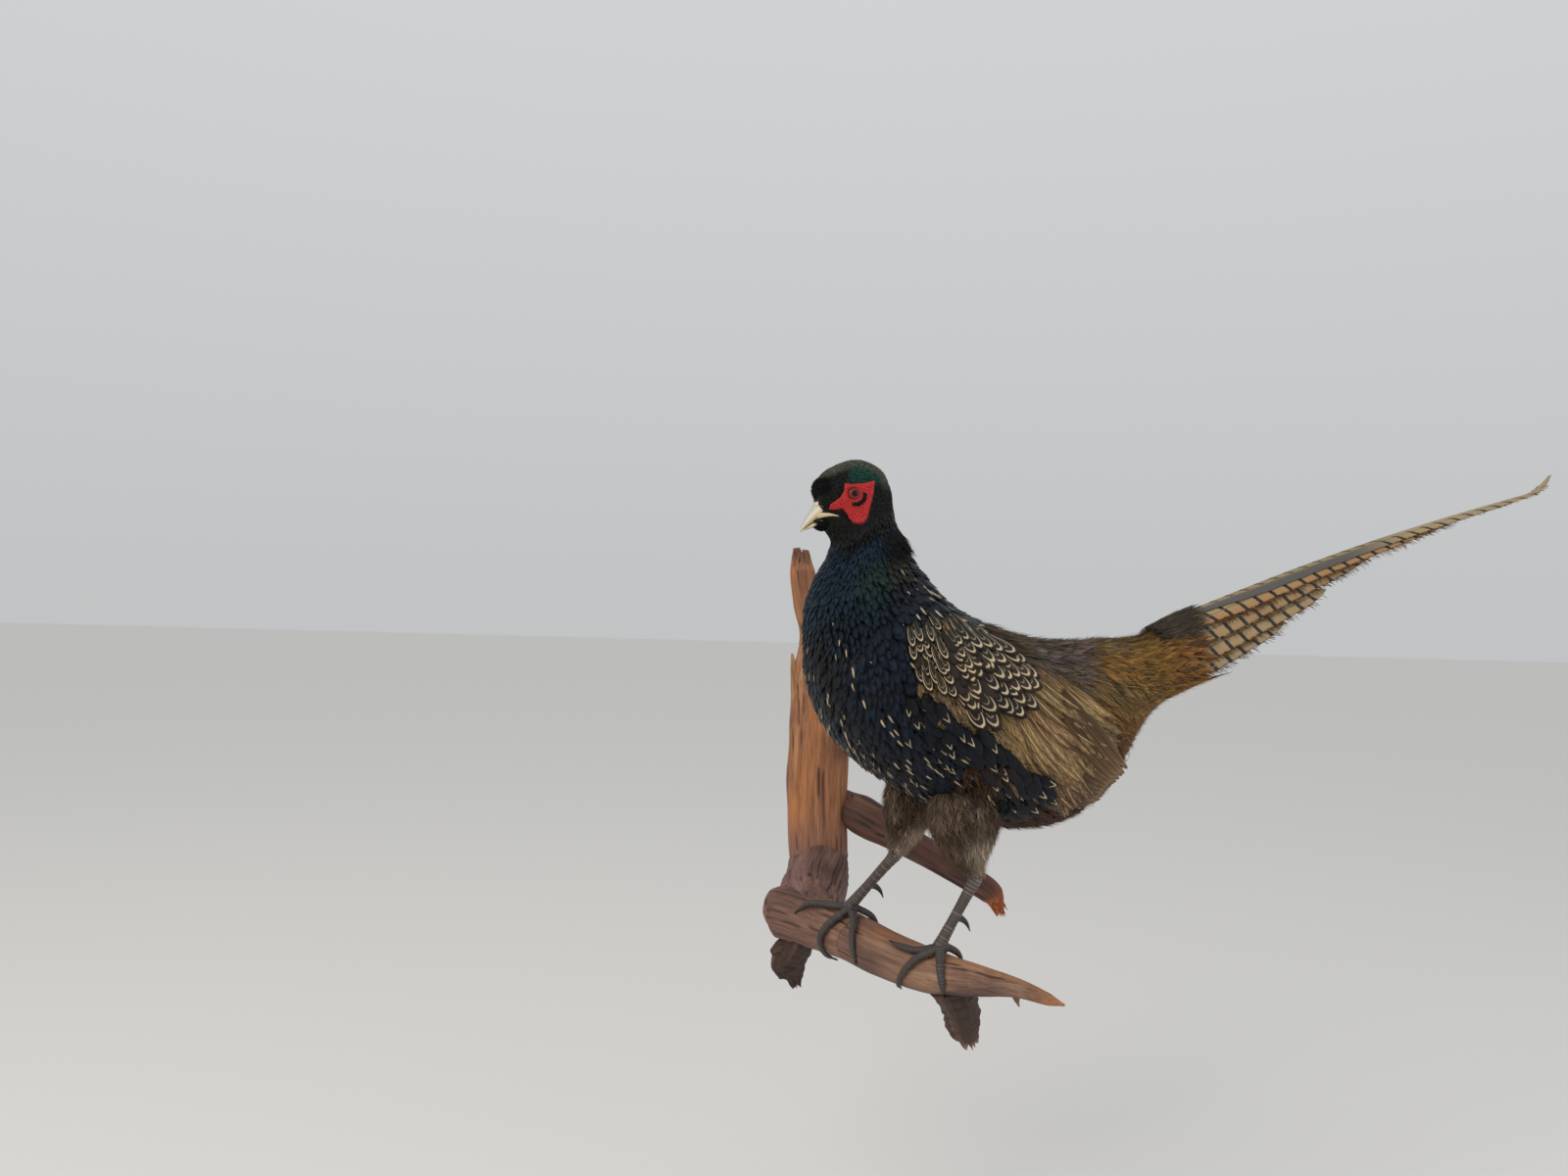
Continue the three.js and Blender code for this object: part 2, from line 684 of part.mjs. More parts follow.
for (const [name, side] of [['left', 1], ['right', -1]]) {
  add(`eye_${name}`, eyeBall(side), [0.03, 0.02, 0.02], 0.1);
  const wattle = cut(cheekPlate(wattleOutline, wattleThickness, side), eyeBall(side, gap));
  const gape = cheekPlate(gapeOutline, gapeThickness, side);
  add(`wattle_${name}`, wattle, red);
  add(`gape_${name}`, cut(gape, wattle, billHalf(upperBillRows, gap)), horn, 0.4);
  add(`wing_${name}`, wings[name], brown);
  add(`thigh_${name}`, thighPiece(legs[name], wings[name]), brown);
  add(`shank_${name}`, shankPiece(legs[name]), legGrey, 0.55);
  add(`spur_${name}`, spur(legs[name]), [0.08, 0.07, 0.07], 0.4);
  add(`foot_${name}`, foot(legs[name]), legGrey, 0.55);
  for (let order = 0; order < tailFeathers.length; order += 1) {
    add(`tail_feather_${order + 1}_${name}`, tailFeather(order, side), tan);
  }
}
add('upper_tail_coverts', upperTailCoverts(), brown);
add('under_tail_coverts', underTailCoverts(), brown);

add('post', cut(postPiece(), behindWall()), wood);
add('knob', knob(), bark);
add('perch', logLengths()[1], wood);
add('side_branch', sideBranch(), wood);
add('snag', snag(), bark);
add('stub', stub(), bark);

export default group;
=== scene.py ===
import bpy
import numpy as np
from mathutils import Matrix, Vector


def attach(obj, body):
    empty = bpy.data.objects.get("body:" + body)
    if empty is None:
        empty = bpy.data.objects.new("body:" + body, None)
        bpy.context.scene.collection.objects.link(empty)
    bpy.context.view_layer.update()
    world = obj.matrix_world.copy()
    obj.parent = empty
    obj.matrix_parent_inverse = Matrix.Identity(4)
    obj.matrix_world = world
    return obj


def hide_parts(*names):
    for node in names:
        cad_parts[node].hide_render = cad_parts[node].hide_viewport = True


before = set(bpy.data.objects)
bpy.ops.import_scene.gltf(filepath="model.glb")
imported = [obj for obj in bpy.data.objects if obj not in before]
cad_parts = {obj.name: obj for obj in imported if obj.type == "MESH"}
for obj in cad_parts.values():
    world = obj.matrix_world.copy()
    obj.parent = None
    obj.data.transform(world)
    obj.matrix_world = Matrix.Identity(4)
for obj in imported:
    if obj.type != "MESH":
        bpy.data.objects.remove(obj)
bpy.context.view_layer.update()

rng = np.random.default_rng(11)
mm = 0.001


def linear(hexColour):  # sRGB hex to linear red, green, blue
    value = np.array([int(hexColour[i:i + 2], 16) for i in (1, 3, 5)]) / 255
    return np.where(value <= 0.04045, value / 12.92, ((value + 0.055) / 1.055) ** 2.4)


def rgba(hexColour):  # the same with full opacity, for sockets
    return (*linear(hexColour), 1.0)


def ease(low, high, value):  # 0 below low, 1 above high, smooth between
    t = np.clip((value - low) / (high - low), 0, 1)
    return t * t * (3 - 2 * t)


def mix(a, b, share):  # a at share 0, b at 1, straight between
    return a + (b - a) * share


def unit(vectors):  # each divided by its own length
    return vectors / np.maximum(np.linalg.norm(vectors, axis=-1, keepdims=True), 1e-12)


def bell(count):  # bell-shaped draws, one per feather or barb
    return rng.normal(size=count)


def turns(count):  # angles once round
    return np.arange(count) / count * 2 * np.pi


def gridOf(rows, columns):  # two arrays of every row value with every column value
    return np.meshgrid(rows, columns, indexing="ij")


def lumps(points, seed=0):  # smooth random field, -1 to 1, one lump per unit of points
    cell = np.floor(points).astype(np.int64)
    part = points - cell
    part = part * part * (3 - 2 * part)
    total = np.zeros(points.shape[:-1])
    for corner in np.ndindex(2, 2, 2):
        key = (cell + corner) @ np.array([374761393, 668265263, 1103515245]) + seed * 144665
        key = (key ^ (key >> 13)) * 1274126177
        key = key ^ (key >> 16)
        weight = np.prod(np.where(corner, part, 1 - part), axis=-1)
        total += weight * ((key & 65535) / 32767.5 - 1)
    return total


def rowsAt(table, s):  # smooth rows of a table at row positions s, straight beyond its ends
    s = np.asarray(s, float)
    inside = np.clip(s, 0, len(table) - 1)
    row = np.clip(np.floor(inside).astype(int), 0, len(table) - 2)
    t = (inside - row)[..., None]
    a, b, c, d = [table[np.clip(row + k, 0, len(table) - 1)] for k in (-1, 0, 1, 2)]
    value = (b * (2 * t**3 - 3 * t**2 + 1) + (c - a) / 2 * (t**3 - 2 * t**2 + t)
             + c * (3 * t**2 - 2 * t**3) + (d - b) / 2 * (t**3 - t**2))
    slope = np.where(s[..., None] < 0, table[1] - table[0], table[-1] - table[-2])
    return value + (s - inside)[..., None] * slope


def insideBy(outline, x, y):  # distance from a closed outline, positive inside
    best = np.full(np.shape(x), 1e9)
    inside = np.zeros(np.shape(x), bool)
    for (x0, y0), (x1, y1) in zip(outline, np.roll(outline, -1, axis=0)):
        share = np.clip(((x - x0) * (x1 - x0) + (y - y0) * (y1 - y0))
                        / ((x1 - x0)**2 + (y1 - y0)**2), 0, 1)
        best = np.minimum(best, np.hypot(x - x0 - share * (x1 - x0), y - y0 - share * (y1 - y0)))
        crosses = (y0 > y) != (y1 > y)
        inside ^= crosses & (x < x0 + (y - y0) * (x1 - x0) / (y1 - y0 if y1 != y0 else 1e-9))
    return np.where(inside, best, -best)


def addNode(tree, kind, inputs=(), stops=(), **settings):
    # a shader node; inputs: sockets are linked, values set; stops: a ramp's places and colours
    node = tree.nodes.new("ShaderNode" + kind)
    for key, value in settings.items():
        setattr(node, key, value)
    for key, value in dict(inputs).items():
        if isinstance(value, bpy.types.NodeSocket):
            tree.links.new(value, node.inputs[key])
        else:
            node.inputs[key].default_value = value
    while stops and len(node.color_ramp.elements) < len(stops):
        node.color_ramp.elements.new(1)
    for element, (place, colour) in zip(node.color_ramp.elements if stops else (), stops):
        element.position = place
        element.color = colour
    return node


def newMaterial(name, sockets=()):  # the material, its tree and its Principled shader
    material = bpy.data.materials.new(name)
    material.use_nodes = True
    tree = material.node_tree
    shader = tree.nodes["Principled BSDF"]
    for key, value in dict(sockets).items():
        shader.inputs[key].default_value = value
    return material, tree, shader


def newMesh(name, points, faces, materials=(), flat=()):  # faces: arrays of 3 or 4 corners
    mesh = bpy.data.meshes.new(name)
    corners = np.concatenate([np.asarray(f).ravel() for f in faces])
    sizes = np.concatenate([np.full(len(f), np.shape(f)[1]) for f in faces])
    mesh.vertices.add(len(points))
    mesh.vertices.foreach_set("co", np.asarray(points, np.float32).ravel())
    mesh.loops.add(len(corners))
    mesh.loops.foreach_set("vertex_index", corners.astype(np.int32))
    mesh.polygons.add(len(sizes))
    mesh.polygons.foreach_set("loop_start", (np.cumsum(sizes) - sizes).astype(np.int32))
    smooth = np.concatenate([np.full(len(f), i not in flat) for i, f in enumerate(faces)])
    mesh.polygons.foreach_set("use_smooth", smooth)
    mesh.update(calc_edges=True)
    piece = bpy.data.objects.new(name, mesh)
    bpy.context.scene.collection.objects.link(piece)
    for material in materials:
        mesh.materials.append(material)
    return piece


def setAttribute(piece, name, kind, values):  # one value, vector or colour per vertex
    field = {"FLOAT_COLOR": "color", "FLOAT_VECTOR": "vector", "FLOAT": "value"}[kind]
    values = np.asarray(values, np.float32)
    if kind == "FLOAT_COLOR":  # full opacity
        values = np.concatenate([values, np.ones((*values.shape[:-1], 1), np.float32)], -1)
    piece.data.attributes.new(name, kind, "POINT").data.foreach_set(field, values.ravel())


def setMap(piece, name, uv):  # one place per vertex
    corner = np.zeros(len(piece.data.loops), np.int32)
    piece.data.loops.foreach_get("vertex_index", corner)
    piece.data.uv_layers.new(name=name).data.foreach_set("uv", uv[corner].astype(np.float32).ravel())


def gridFaces(rows, columns, wrap=False, start=0):  # quads of a grid, outward for rows x columns
    r, c = gridOf(np.arange(rows - 1), np.arange(columns if wrap else columns - 1))
    a = start + r * columns + c
    b = start + r * columns + (c + 1) % columns
    return np.stack([a, b, b + columns, a + columns], -1).reshape(-1, 4)


def capFaces(ring, middle, flip=False):  # fan from a ring's corners to its middle
    fan = np.stack([ring, np.roll(ring, -1), np.full(len(ring), middle)], -1)
    return fan[:, ::-1] if flip else fan


def closedTube(rings):  # rings (k, n, 3) with both ends closed: points and faces
    count, around = rings.shape[:2]
    points = np.concatenate([rings.reshape(-1, 3), rings[:1].mean(1), rings[-1:].mean(1)])
    top = (count - 1) * around + np.arange(around)
    faces = [gridFaces(count, around, wrap=True),
             capFaces(np.arange(around), count * around, flip=True),
             capFaces(top, count * around + 1)]
    first = np.cross(rings[0, 1] - rings[0, 0], rings[1, 0] - rings[0, 0])
    if np.dot(first, rings[0, 0] - rings[0].mean(0)) < 0:
        faces = [f[:, ::-1] for f in faces]
    return points, faces


def capped(values):  # a closed tube's values on its grid, then one for the middle of each end
    flat = values.reshape(-1, values.shape[-1])
    return np.concatenate([flat, flat[:1], flat[-1:]])


def joinParts(parts):  # [(points, faces)] to one
    points, faces, start = [], [], 0
    for p, f in parts:
        points.append(p)
        faces += [part + start for part in f]
        start += len(p)
    return np.concatenate(points), faces


# Ribs from the tail root forward, mm in the bird's own plane: back line (forward, up),
# belly line (forward, up), half width, turn in degrees.
ribs = np.array([
    [-189, 84, -208.7, 25.2, 25, 16.7], [-166, 72, -174, 9, 35, 10], [-128, 69, -133, -24, 49, 3],
    [-88, 68, -97, -65, 60, 0], [-42, 70, -60, -82, 67, 0], [3, 80, -8, -80, 72, 0],
    [30, 89, 32, -67, 73, 0], [51, 99, 72, -50, 73, 0], [64, 108, 105, -31, 71, 0],
    [73, 117, 132, -8, 67, 0], [79, 125, 150, 22, 60, 0], [84, 132, 159, 55, 50, 0],
    [88, 140, 161, 87, 41, 3], [92, 149, 155, 110, 33, 8], [96, 160, 146.5, 125, 28, 13],
    [97.5, 170, 142.5, 138, 24.5, 16], [99, 181, 145.5, 145, 21.5, 16],
    [107, 195.5, 151, 150.5, 19.5, 16], [126, 202, 153, 152.5, 17, 16],
    [147, 194.5, 154.5, 154.5, 12.4, 16], [156, 186, 156.3, 157, 7.8, 16]], float)
lastRib = len(ribs) - 1
birdPlace = dict(x=115, y=-200, z=30, yaw=np.radians(28), neckPivot=115, rumpPivot=-150, headTurn=16)
neckPivot = birdPlace["neckPivot"]


def toMount(forward, left, up):  # bird's own mm to the mount's frame in metres, turned by the yaw
    cos, sin = np.cos(birdPlace["yaw"]), np.sin(birdPlace["yaw"])
    return mm * np.stack([birdPlace["x"] - forward * cos + left * sin,
                          birdPlace["y"] - forward * sin - left * cos,
                          birdPlace["z"] + up + 0 * forward], -1)


def toMountTurned(forward, left, up, turn, pivot):  # turned by some degrees about an upright line
    angle = np.radians(turn)
    reach = forward - pivot
    return toMount(pivot + reach * np.cos(angle) + left * np.sin(angle),
                   left * np.cos(angle) - reach * np.sin(angle), up)


def onHead(forward, left, up):  # place on the turned head, forward from the neck's pivot
    return toMountTurned(neckPivot + forward, left, up, birdPlace["headTurn"], neckPivot)


def ringPlace(s, a):  # unturned place on the body's oval rings: forward, left, up, turn, pivot
    back, backUp, belly, bellyUp, half, turn = np.moveaxis(rowsAt(ribs, s), -1, 0)
    rise = np.cos(a) / 2
    return ((back + belly) / 2 + (back - belly) * rise, half * np.sin(a),
            (backUp + bellyUp) / 2 + (backUp - bellyUp) * rise,
            turn, np.where(s > 10, neckPivot, birdPlace["rumpPivot"]))


def bodyPoint(s, a):  # s: rib position, a: angle from the back, positive to the bird's left
    return toMountTurned(*ringPlace(s, a))


def surfaceWithNormal(point, s, a, stepS, stepA):  # place, outward normal and both slopes
    here = point(s, a)
    alongS = (point(s + stepS, a) - point(s - stepS, a)) / (2 * stepS)
    alongA = (point(s, a + stepA) - point(s, a - stepA)) / (2 * stepA)
    return here, unit(np.cross(alongS, alongA)), alongS, alongA


def bodySurface(s, a):  # the body's places, normals and slopes
    return surfaceWithNormal(bodyPoint, s, a, 0.01, 0.01)


# Outlines on the flank (forward, up) in mm.
wingOutline = np.array([
    [112, 44], [106, 74], [84, 94], [48, 80], [14, 56], [-30, 44], [-62, 12], [-84, -28],
    [-88, -44], [-60, -54], [-34, -55], [4, -46], [40, -34], [78, -14], [104, 12]], float)
darkOutline = np.array([
    [300, 300], [26, 300], [26, 84], [69, 85], [92, 82], [114, 70], [110, 46], [99, 28], [85, 14],
    [61, 8], [45, -4], [31, -17], [12, -27], [-6, -36], [-4, -48], [14, -62], [34, -74],
    [44, -120], [300, -120]], float)
scapularOutline = np.array([
    [116, 60], [104, 72], [82, 78], [50, 78], [36, 70], [20, 54], [6, 38], [16, 30], [35, 23],
    [58, 15], [70, 26], [84, 35], [96, 42], [108, 52]], float)
goldOutline = np.array([
    [-92, 74], [-120, 62], [-175, 92], [-230, 90], [-230, 0], [-150, -30], [-96, -44], [-70, -12],
    [-60, 8], [-52, 34], [-66, 52]], float)
backOutline = np.array([
    [27, 300], [27, 86], [8, 66], [-8, 42], [-28, 38], [-50, 30], [-66, 54], [-100, 66],
    [-120, 62], [-175, 92], [-260, 92], [-260, 300]], float)


def wingRise(forward, up):  # how far the folded wing stands off the flank, in metres
    return 5.5 * mm * ease(-3, 9, insideBy(wingOutline, forward, up))


def vaneShape(rows=5, columns=8, fray=0.1, roundness=0.22, tip=0.5, root=0.35, widest=0.6):
    # flat solid feather: top grid, underside strips from the edges to a line under the shaft;
    # it widens as a sine from root to widest, narrows to tip, and every other edge point is frayed
    u, v = gridOf((np.arange(rows + 1) / rows) ** 0.85, np.linspace(-1, 1, columns + 1))
    width = root + (1 - root) * np.sin(np.pi / 2 * np.minimum(u / widest, 1))
    width *= mix(1, tip, ease(widest, 1, u))
    pulled = fray * (rng.random(u.shape) * 0.5 + np.arange(columns + 1) % 2) * ease(0.55, 1, u)
    x = u * (1 - roundness * v * v) - pulled
    line = np.linspace(0.04, 0.92, rows + 1)
    count = (rows + 1) * (columns + 1)
    grid = np.arange(count).reshape(rows + 1, columns + 1)
    mid = count + np.arange(rows + 1)
    top = np.stack([grid[:-1, :-1], grid[1:, :-1], grid[1:, 1:], grid[:-1, 1:]], -1).reshape(-1, 4)
    low = np.concatenate([np.stack([grid[:-1, 0], mid[:-1], mid[1:], grid[1:, 0]], -1),
                          np.stack([mid[:-1], grid[:-1, -1], grid[1:, -1], mid[1:]], -1)])
    ends = np.concatenate([np.stack([np.full(columns, mid[-1]), grid[-1, 1:], grid[-1, :-1]], -1),
                           np.stack([np.full(columns, mid[0]), grid[0, :-1], grid[0, 1:]], -1)])
    return dict(x=np.concatenate([x.ravel(), line]), y=np.concatenate([(v * width).ravel(), 0 * line]),
                u=np.concatenate([u.ravel(), line]), v=np.concatenate([v.ravel(), 0 * line]),
                under=np.concatenate([np.zeros(count), np.ones(rows + 1)]), faces=[top, low, ends],
                flat=(1, 2))


def bladeShape(rings=3, wide=0.75):  # hair-like barb: three-sided, pointed, closed at the root
    x = np.arange(rings) / rings
    width = wide + (1 - wide) * np.sin(np.pi * x) - 0.35 * x
    ring = np.stack([np.stack([x, -width, 0 * x], -1), np.stack([x, width, 0 * x], -1),
                     np.stack([x, 0 * x, 0.8 * width], -1)], 1).reshape(-1, 3)
    place = np.concatenate([ring, [[1, 0, 0]]])
    edges = ((0, 2), (2, 1), (1, 0))
    k = 3 * np.arange(rings - 1)
    sides = np.concatenate([np.stack([k + a, k + 3 + a, k + 3 + b, k + b], -1) for a, b in edges])
    end = 3 * rings - 3
    tips = np.array([[end + a, 3 * rings, end + b] for a, b in edges] + [[0, 2, 1]])
    return dict(x=place[:, 0], y=place[:, 1], u=place[:, 0], v=place[:, 1], over=place[:, 2],
                under=np.zeros(len(place)), faces=[sides, tips], flat=())


def scatter(point, reach, meridians, spacing, wide):
    # roots along meridians, staggered from one to the next; meridians drop out where they crowd
    fine = np.linspace(*reach, 600)
    found = []
    for j in range(meridians):
        a = -np.pi + 2 * np.pi * (j + 0.5) / meridians
        line = point(fine, np.full(600, a))
        step = np.linalg.norm(np.diff(line, axis=0), axis=1)
        run = np.concatenate([[0], np.cumsum(step)]) / spacing
        order = 1 if j % 2 else 2 if j % 4 else 4 if j % 8 else 8
        s = np.interp(np.arange(0.5 * (j % 2) + 0.3, run[-1], 1), run, fine)
        here = point(s, np.full(len(s), a))
        beside = point(s, np.full(len(s), a + 2 * np.pi / meridians))
        apart = np.linalg.norm(beside - here, axis=1)
        keep = order >= 2 ** np.round(np.log2(np.maximum(wide / np.maximum(apart, 1e-6), 1)))
        found.append(np.stack([s[keep], np.full(keep.sum(), a)], -1))
    return np.concatenate(found)


bakePatch = 0.003  # side of each feather's patch on the unwrapped skin


def coat(name, roots, shapes, look, slot="black_plumage", replaced=(), surface=bodySurface):
    # roots: arrays s, a and uv with length, half, lie and so on; each feather or barb is laid
    # over the surface point by point, its offsets along and across turned to steps in s and a
    n = len(roots["s"])
    usual = dict(lie=0, length=10 * mm, half=3 * mm, base=0, rise=0.1, power=1.2, camber=0.2, bend=0,
                 thick=0.15 * mm)
    value = {key: np.broadcast_to(roots.get(key, usual[key]), (n,)) for key in usual}
    _, _, alongS, alongA = surface(roots["s"], roots["a"])
    perS, perA = 1 / np.linalg.norm(alongS, axis=1), 1 / np.linalg.norm(alongA, axis=1)
    side = np.where(roots["a"] < 0, -1.0, 1.0)
    chosen = rng.integers(len(shapes), size=n)
    shape = {key: np.stack([part[key] for part in shapes])[chosen] for key in ("x", "y", "u", "v")}
    under, over = shapes[0]["under"], shapes[0].get("over", 0)
    col = {key: value[key][:, None] for key in value}
    x = col["length"] * shape["x"]
    y = col["half"] * shape["y"] + col["bend"] * col["length"] * shape["x"] ** 2
    lieCos, lieSin = np.cos(col["lie"]), np.sin(col["lie"]) * side[:, None]
    s = roots["s"][:, None] - (x * lieCos + y * lieSin) * perS[:, None]
    a = roots["a"][:, None] + (x * lieSin - y * lieCos) * perA[:, None]
    place, out, _, _ = surface(s, a)
    lift = (col["base"] + col["length"] * col["rise"] * np.maximum(shape["x"], 0) ** col["power"]
            + col["half"] * (col["camber"] * (1 - shape["v"] ** 2) + over)
            - col["thick"] * under)
    points = (place + out * lift[..., None]).reshape(-1, 3)
    m = shape["x"].shape[1]
    starts = (np.arange(n) * m)[:, None, None]
    faces = [(part[None] + starts).reshape(-1, part.shape[1]) for part in shapes[0]["faces"]]
    piece = newMesh(name, points, faces, [look], flat=shapes[0]["flat"])
    tint = np.repeat(roots["tint"][:, None, :], m, 1)
    if "tipTint" in roots:
        tint = mix(tint, roots["tipTint"][:, None, :], ease(0.35, 0.95, shape["u"])[..., None])
    # painted shade: each feather darkens toward its root, where the feathers over it would shade it;
    # rootShade is the share of its colour kept at the root
    tint = tint * mix(roots.get("rootShade", 0.55), 1, ease(0, 0.6, shape["u"]))[..., None]
    setAttribute(piece, "tint", "FLOAT_COLOR", tint)
    luck = np.repeat(rng.random(n)[:, None], m, 1)
    setAttribute(piece, "vane", "FLOAT_VECTOR", np.stack([shape["u"], shape["v"], luck], -1))
    marks = roots.get("marks", np.zeros((n, 3)))
    setAttribute(piece, "marks", "FLOAT_VECTOR", np.repeat(marks[:, None, :], m, 1))
    spot = np.stack([shape["v"] * 0.5, shape["u"] - 0.5], -1) * bakePatch
    setMap(piece, "OFBake", (roots["uv"][:, None, :] + spot).reshape(-1, 2))
    print(name, n, "pieces")
    finish(piece, replaced)


def barbCoat(name, roots, *others, **settings):  # loose hair-like barbs
    coat(name, roots | dict(camber=0), barbs, hair, *others, **settings)


def finish(piece, replaced=()):  # ties a piece to the frame
    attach(piece, "root")
    if replaced:
        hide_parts(*replaced)


def bodyMap(s, a):  # the skin's own unwrap: round the body and along it
    return np.stack([0.5 + a / (2 * np.pi) * 0.98, 0.02 + s / lastRib * 0.96], -1)


def varied(colour, n, light=0.2, hue=0.06):  # one colour per feather around a hex colour
    tone = linear(colour) * (1 + light * (rng.random((n, 1)) * 2 - 1))
    return tone * (1 + hue * (rng.random((n, 3)) * 2 - 1))


def blendTints(parts, shares):  # parts (k, n, 3) weighted by shares (k, n)
    shares = np.array(shares)
    shares = shares / np.maximum(shares.sum(0), 1e-6)
    return (np.array(parts) * shares[..., None]).sum(0)


def featherInputs(tree):  # a feather's tint, its place along and across the vane, its marks
    tint = addNode(tree, "Attribute", attribute_name="tint")
    vane, marks = [addNode(tree, "SeparateXYZ", {
        0: addNode(tree, "Attribute", attribute_name=name).outputs["Vector"]}) for name in ("vane", "marks")]
    return tint.outputs["Color"], vane.outputs[0], vane.outputs[1], marks.outputs


def plumage(name, look):  # one feather material: tint and marks come with each feather
    material, tree, shader = newMaterial(name, look.get("shader", {}))
    tint, u, v, marks = featherInputs(tree)
    away = addNode(tree, "Math", {0: v}, operation="ABSOLUTE").outputs[0]
    # barbs: fine stripes slanting from the shaft to the edge
    slant = addNode(tree, "Math", {0: away, 1: -0.45, 2: u}, operation="MULTIPLY_ADD").outputs[0]
    wobble = addNode(tree, "TexNoise", {"Scale": 900.0, "Detail": 1.0}).outputs["Fac"]
    phase = addNode(tree, "Math", {0: slant, 1: look.get("barbs", 110.0), 2: wobble},
                    operation="MULTIPLY_ADD")
    stripe = addNode(tree, "Math", {0: phase.outputs[0]}, operation="SINE").outputs[0]
    depth = look.get("barbDepth", 0.16)
    shade = addNode(tree, "MapRange", {"Value": stripe, "From Min": -1.0, "To Min": 1 - 2 * depth,
                                       "To Max": 1 + 0.5 * depth})
    colour = addNode(tree, "VectorMath", {0: tint, "Scale": shade.outputs[0]}, operation="SCALE").outputs[0]

    def band(value, at, wide):  # 1 where value is near at
        off = addNode(tree, "Math", {0: value, 1: at}, operation="SUBTRACT").outputs[0]
        off = addNode(tree, "Math", {0: off}, operation="ABSOLUTE").outputs[0]
        return addNode(tree, "MapRange", {"Value": off, "From Min": wide, "From Max": wide * 0.45},
                       interpolation_type="SMOOTHSTEP").outputs[0]

    def paint(under, shares, hexColour):  # colour laid on by the product of some shares
        share = shares[0]
        for other in shares[1:]:
            share = addNode(tree, "Math", {0: share, 1: other}, operation="MULTIPLY").outputs[0]
        return addNode(tree, "Mix", {0: share, 6: under, 7: rgba(hexColour)}, data_type="RGBA").outputs[2]

    if "line" in look:  # pale loop inside the edge
        past = addNode(tree, "MapRange", {"Value": u, "From Min": 0.28, "From Max": 0.94, "To Max": 1.0})
        cubes = [addNode(tree, "Math", {0: part, 1: 3.0}, operation="POWER").outputs[0]
                 for part in (away, past.outputs[0])]
        summed = addNode(tree, "Math", {0: cubes[0], 1: cubes[1]}, operation="ADD").outputs[0]
        ring = addNode(tree, "Math", {0: summed, 1: 1 / 3}, operation="POWER").outputs[0]
        for at, wide, strength in look["line"]["rings"]:
            colour = paint(colour, (band(ring, at, wide), marks[0], strength), look["line"]["colour"])
    if "shaft" in look:  # pale streak on the shaft, some forked towards the tip
        start = look["shaft"]["start"]
        late = addNode(tree, "MapRange", {"Value": u, "From Min": start, "From Max": start + 0.12})
        streak = band(away, 0.0, look["shaft"]["wide"])
        colour = paint(colour, (streak, late.outputs[0], marks[1]), look["shaft"]["colour"])
    if "fork" in look:  # two arms that meet on the shaft near the tip
        spread = look["fork"]["spread"]
        arm = addNode(tree, "Math", {0: u, 1: spread, 2: away}, operation="MULTIPLY_ADD").outputs[0]
        late = addNode(tree, "MapRange", {"Value": u, "From Min": 0.62, "From Max": 0.7}).outputs[0]
        arms = band(arm, spread * 0.93, 0.13)
        colour = paint(colour, (arms, late, marks[2]), look["shaft"]["colour"])
    tree.links.new(colour, shader.inputs["Base Color"])
    bump = addNode(tree, "Bump", {"Strength": 0.35, "Distance": 0.0002, "Height": stripe}).outputs[0]
    tree.links.new(bump, shader.inputs["Normal"])
    return material


def bodyRoots(reach, meridians, spacing, wide, jitter=0.25):  # feather roots on the body
    s, a = scatter(bodyPoint, reach, meridians, spacing, wide).T
    _, _, alongS, alongA = bodySurface(s, a)
    s = s + spacing * jitter * bell(len(s)) / np.linalg.norm(alongS, axis=1)
    a = a + wide * jitter * bell(len(s)) / np.linalg.norm(alongA, axis=1)
    a = (a + np.pi) % (2 * np.pi) - np.pi
    forward, _, up, _, _ = ringPlace(s, a)
    here = bodyPoint(s, a)
    return dict(s=s, a=a, forward=forward, up=up, here=here, uv=bodyMap(s, a),
                patchy=lumps(here / (14 * mm)), fine=lumps(here / (5 * mm), 3), rise0=wingRise(forward, up))


def depthIn(outline, roots):  # how deep roots lie inside an outline on the flank, in mm
    return insideBy(outline, roots["forward"], roots["up"])


def pick(roots, keep):  # the roots that a mask keeps
    return {key: value[keep] for key, value in roots.items()}


skinSizes = dict(coatDepth=2.6 * mm, neckDepth=1.6 * mm, headDepth=0.7 * mm, thighDepth=3.5 * mm,
                 shade=0.6, thigh="#4a372a")


def coatDepth(s):  # depth of the skin under the outline: thick on the body, thin on the head
    return mix(mix(skinSizes["coatDepth"], skinSizes["neckDepth"], ease(10, 12.5, s)),
               skinSizes["headDepth"], ease(14, 15.5, s))


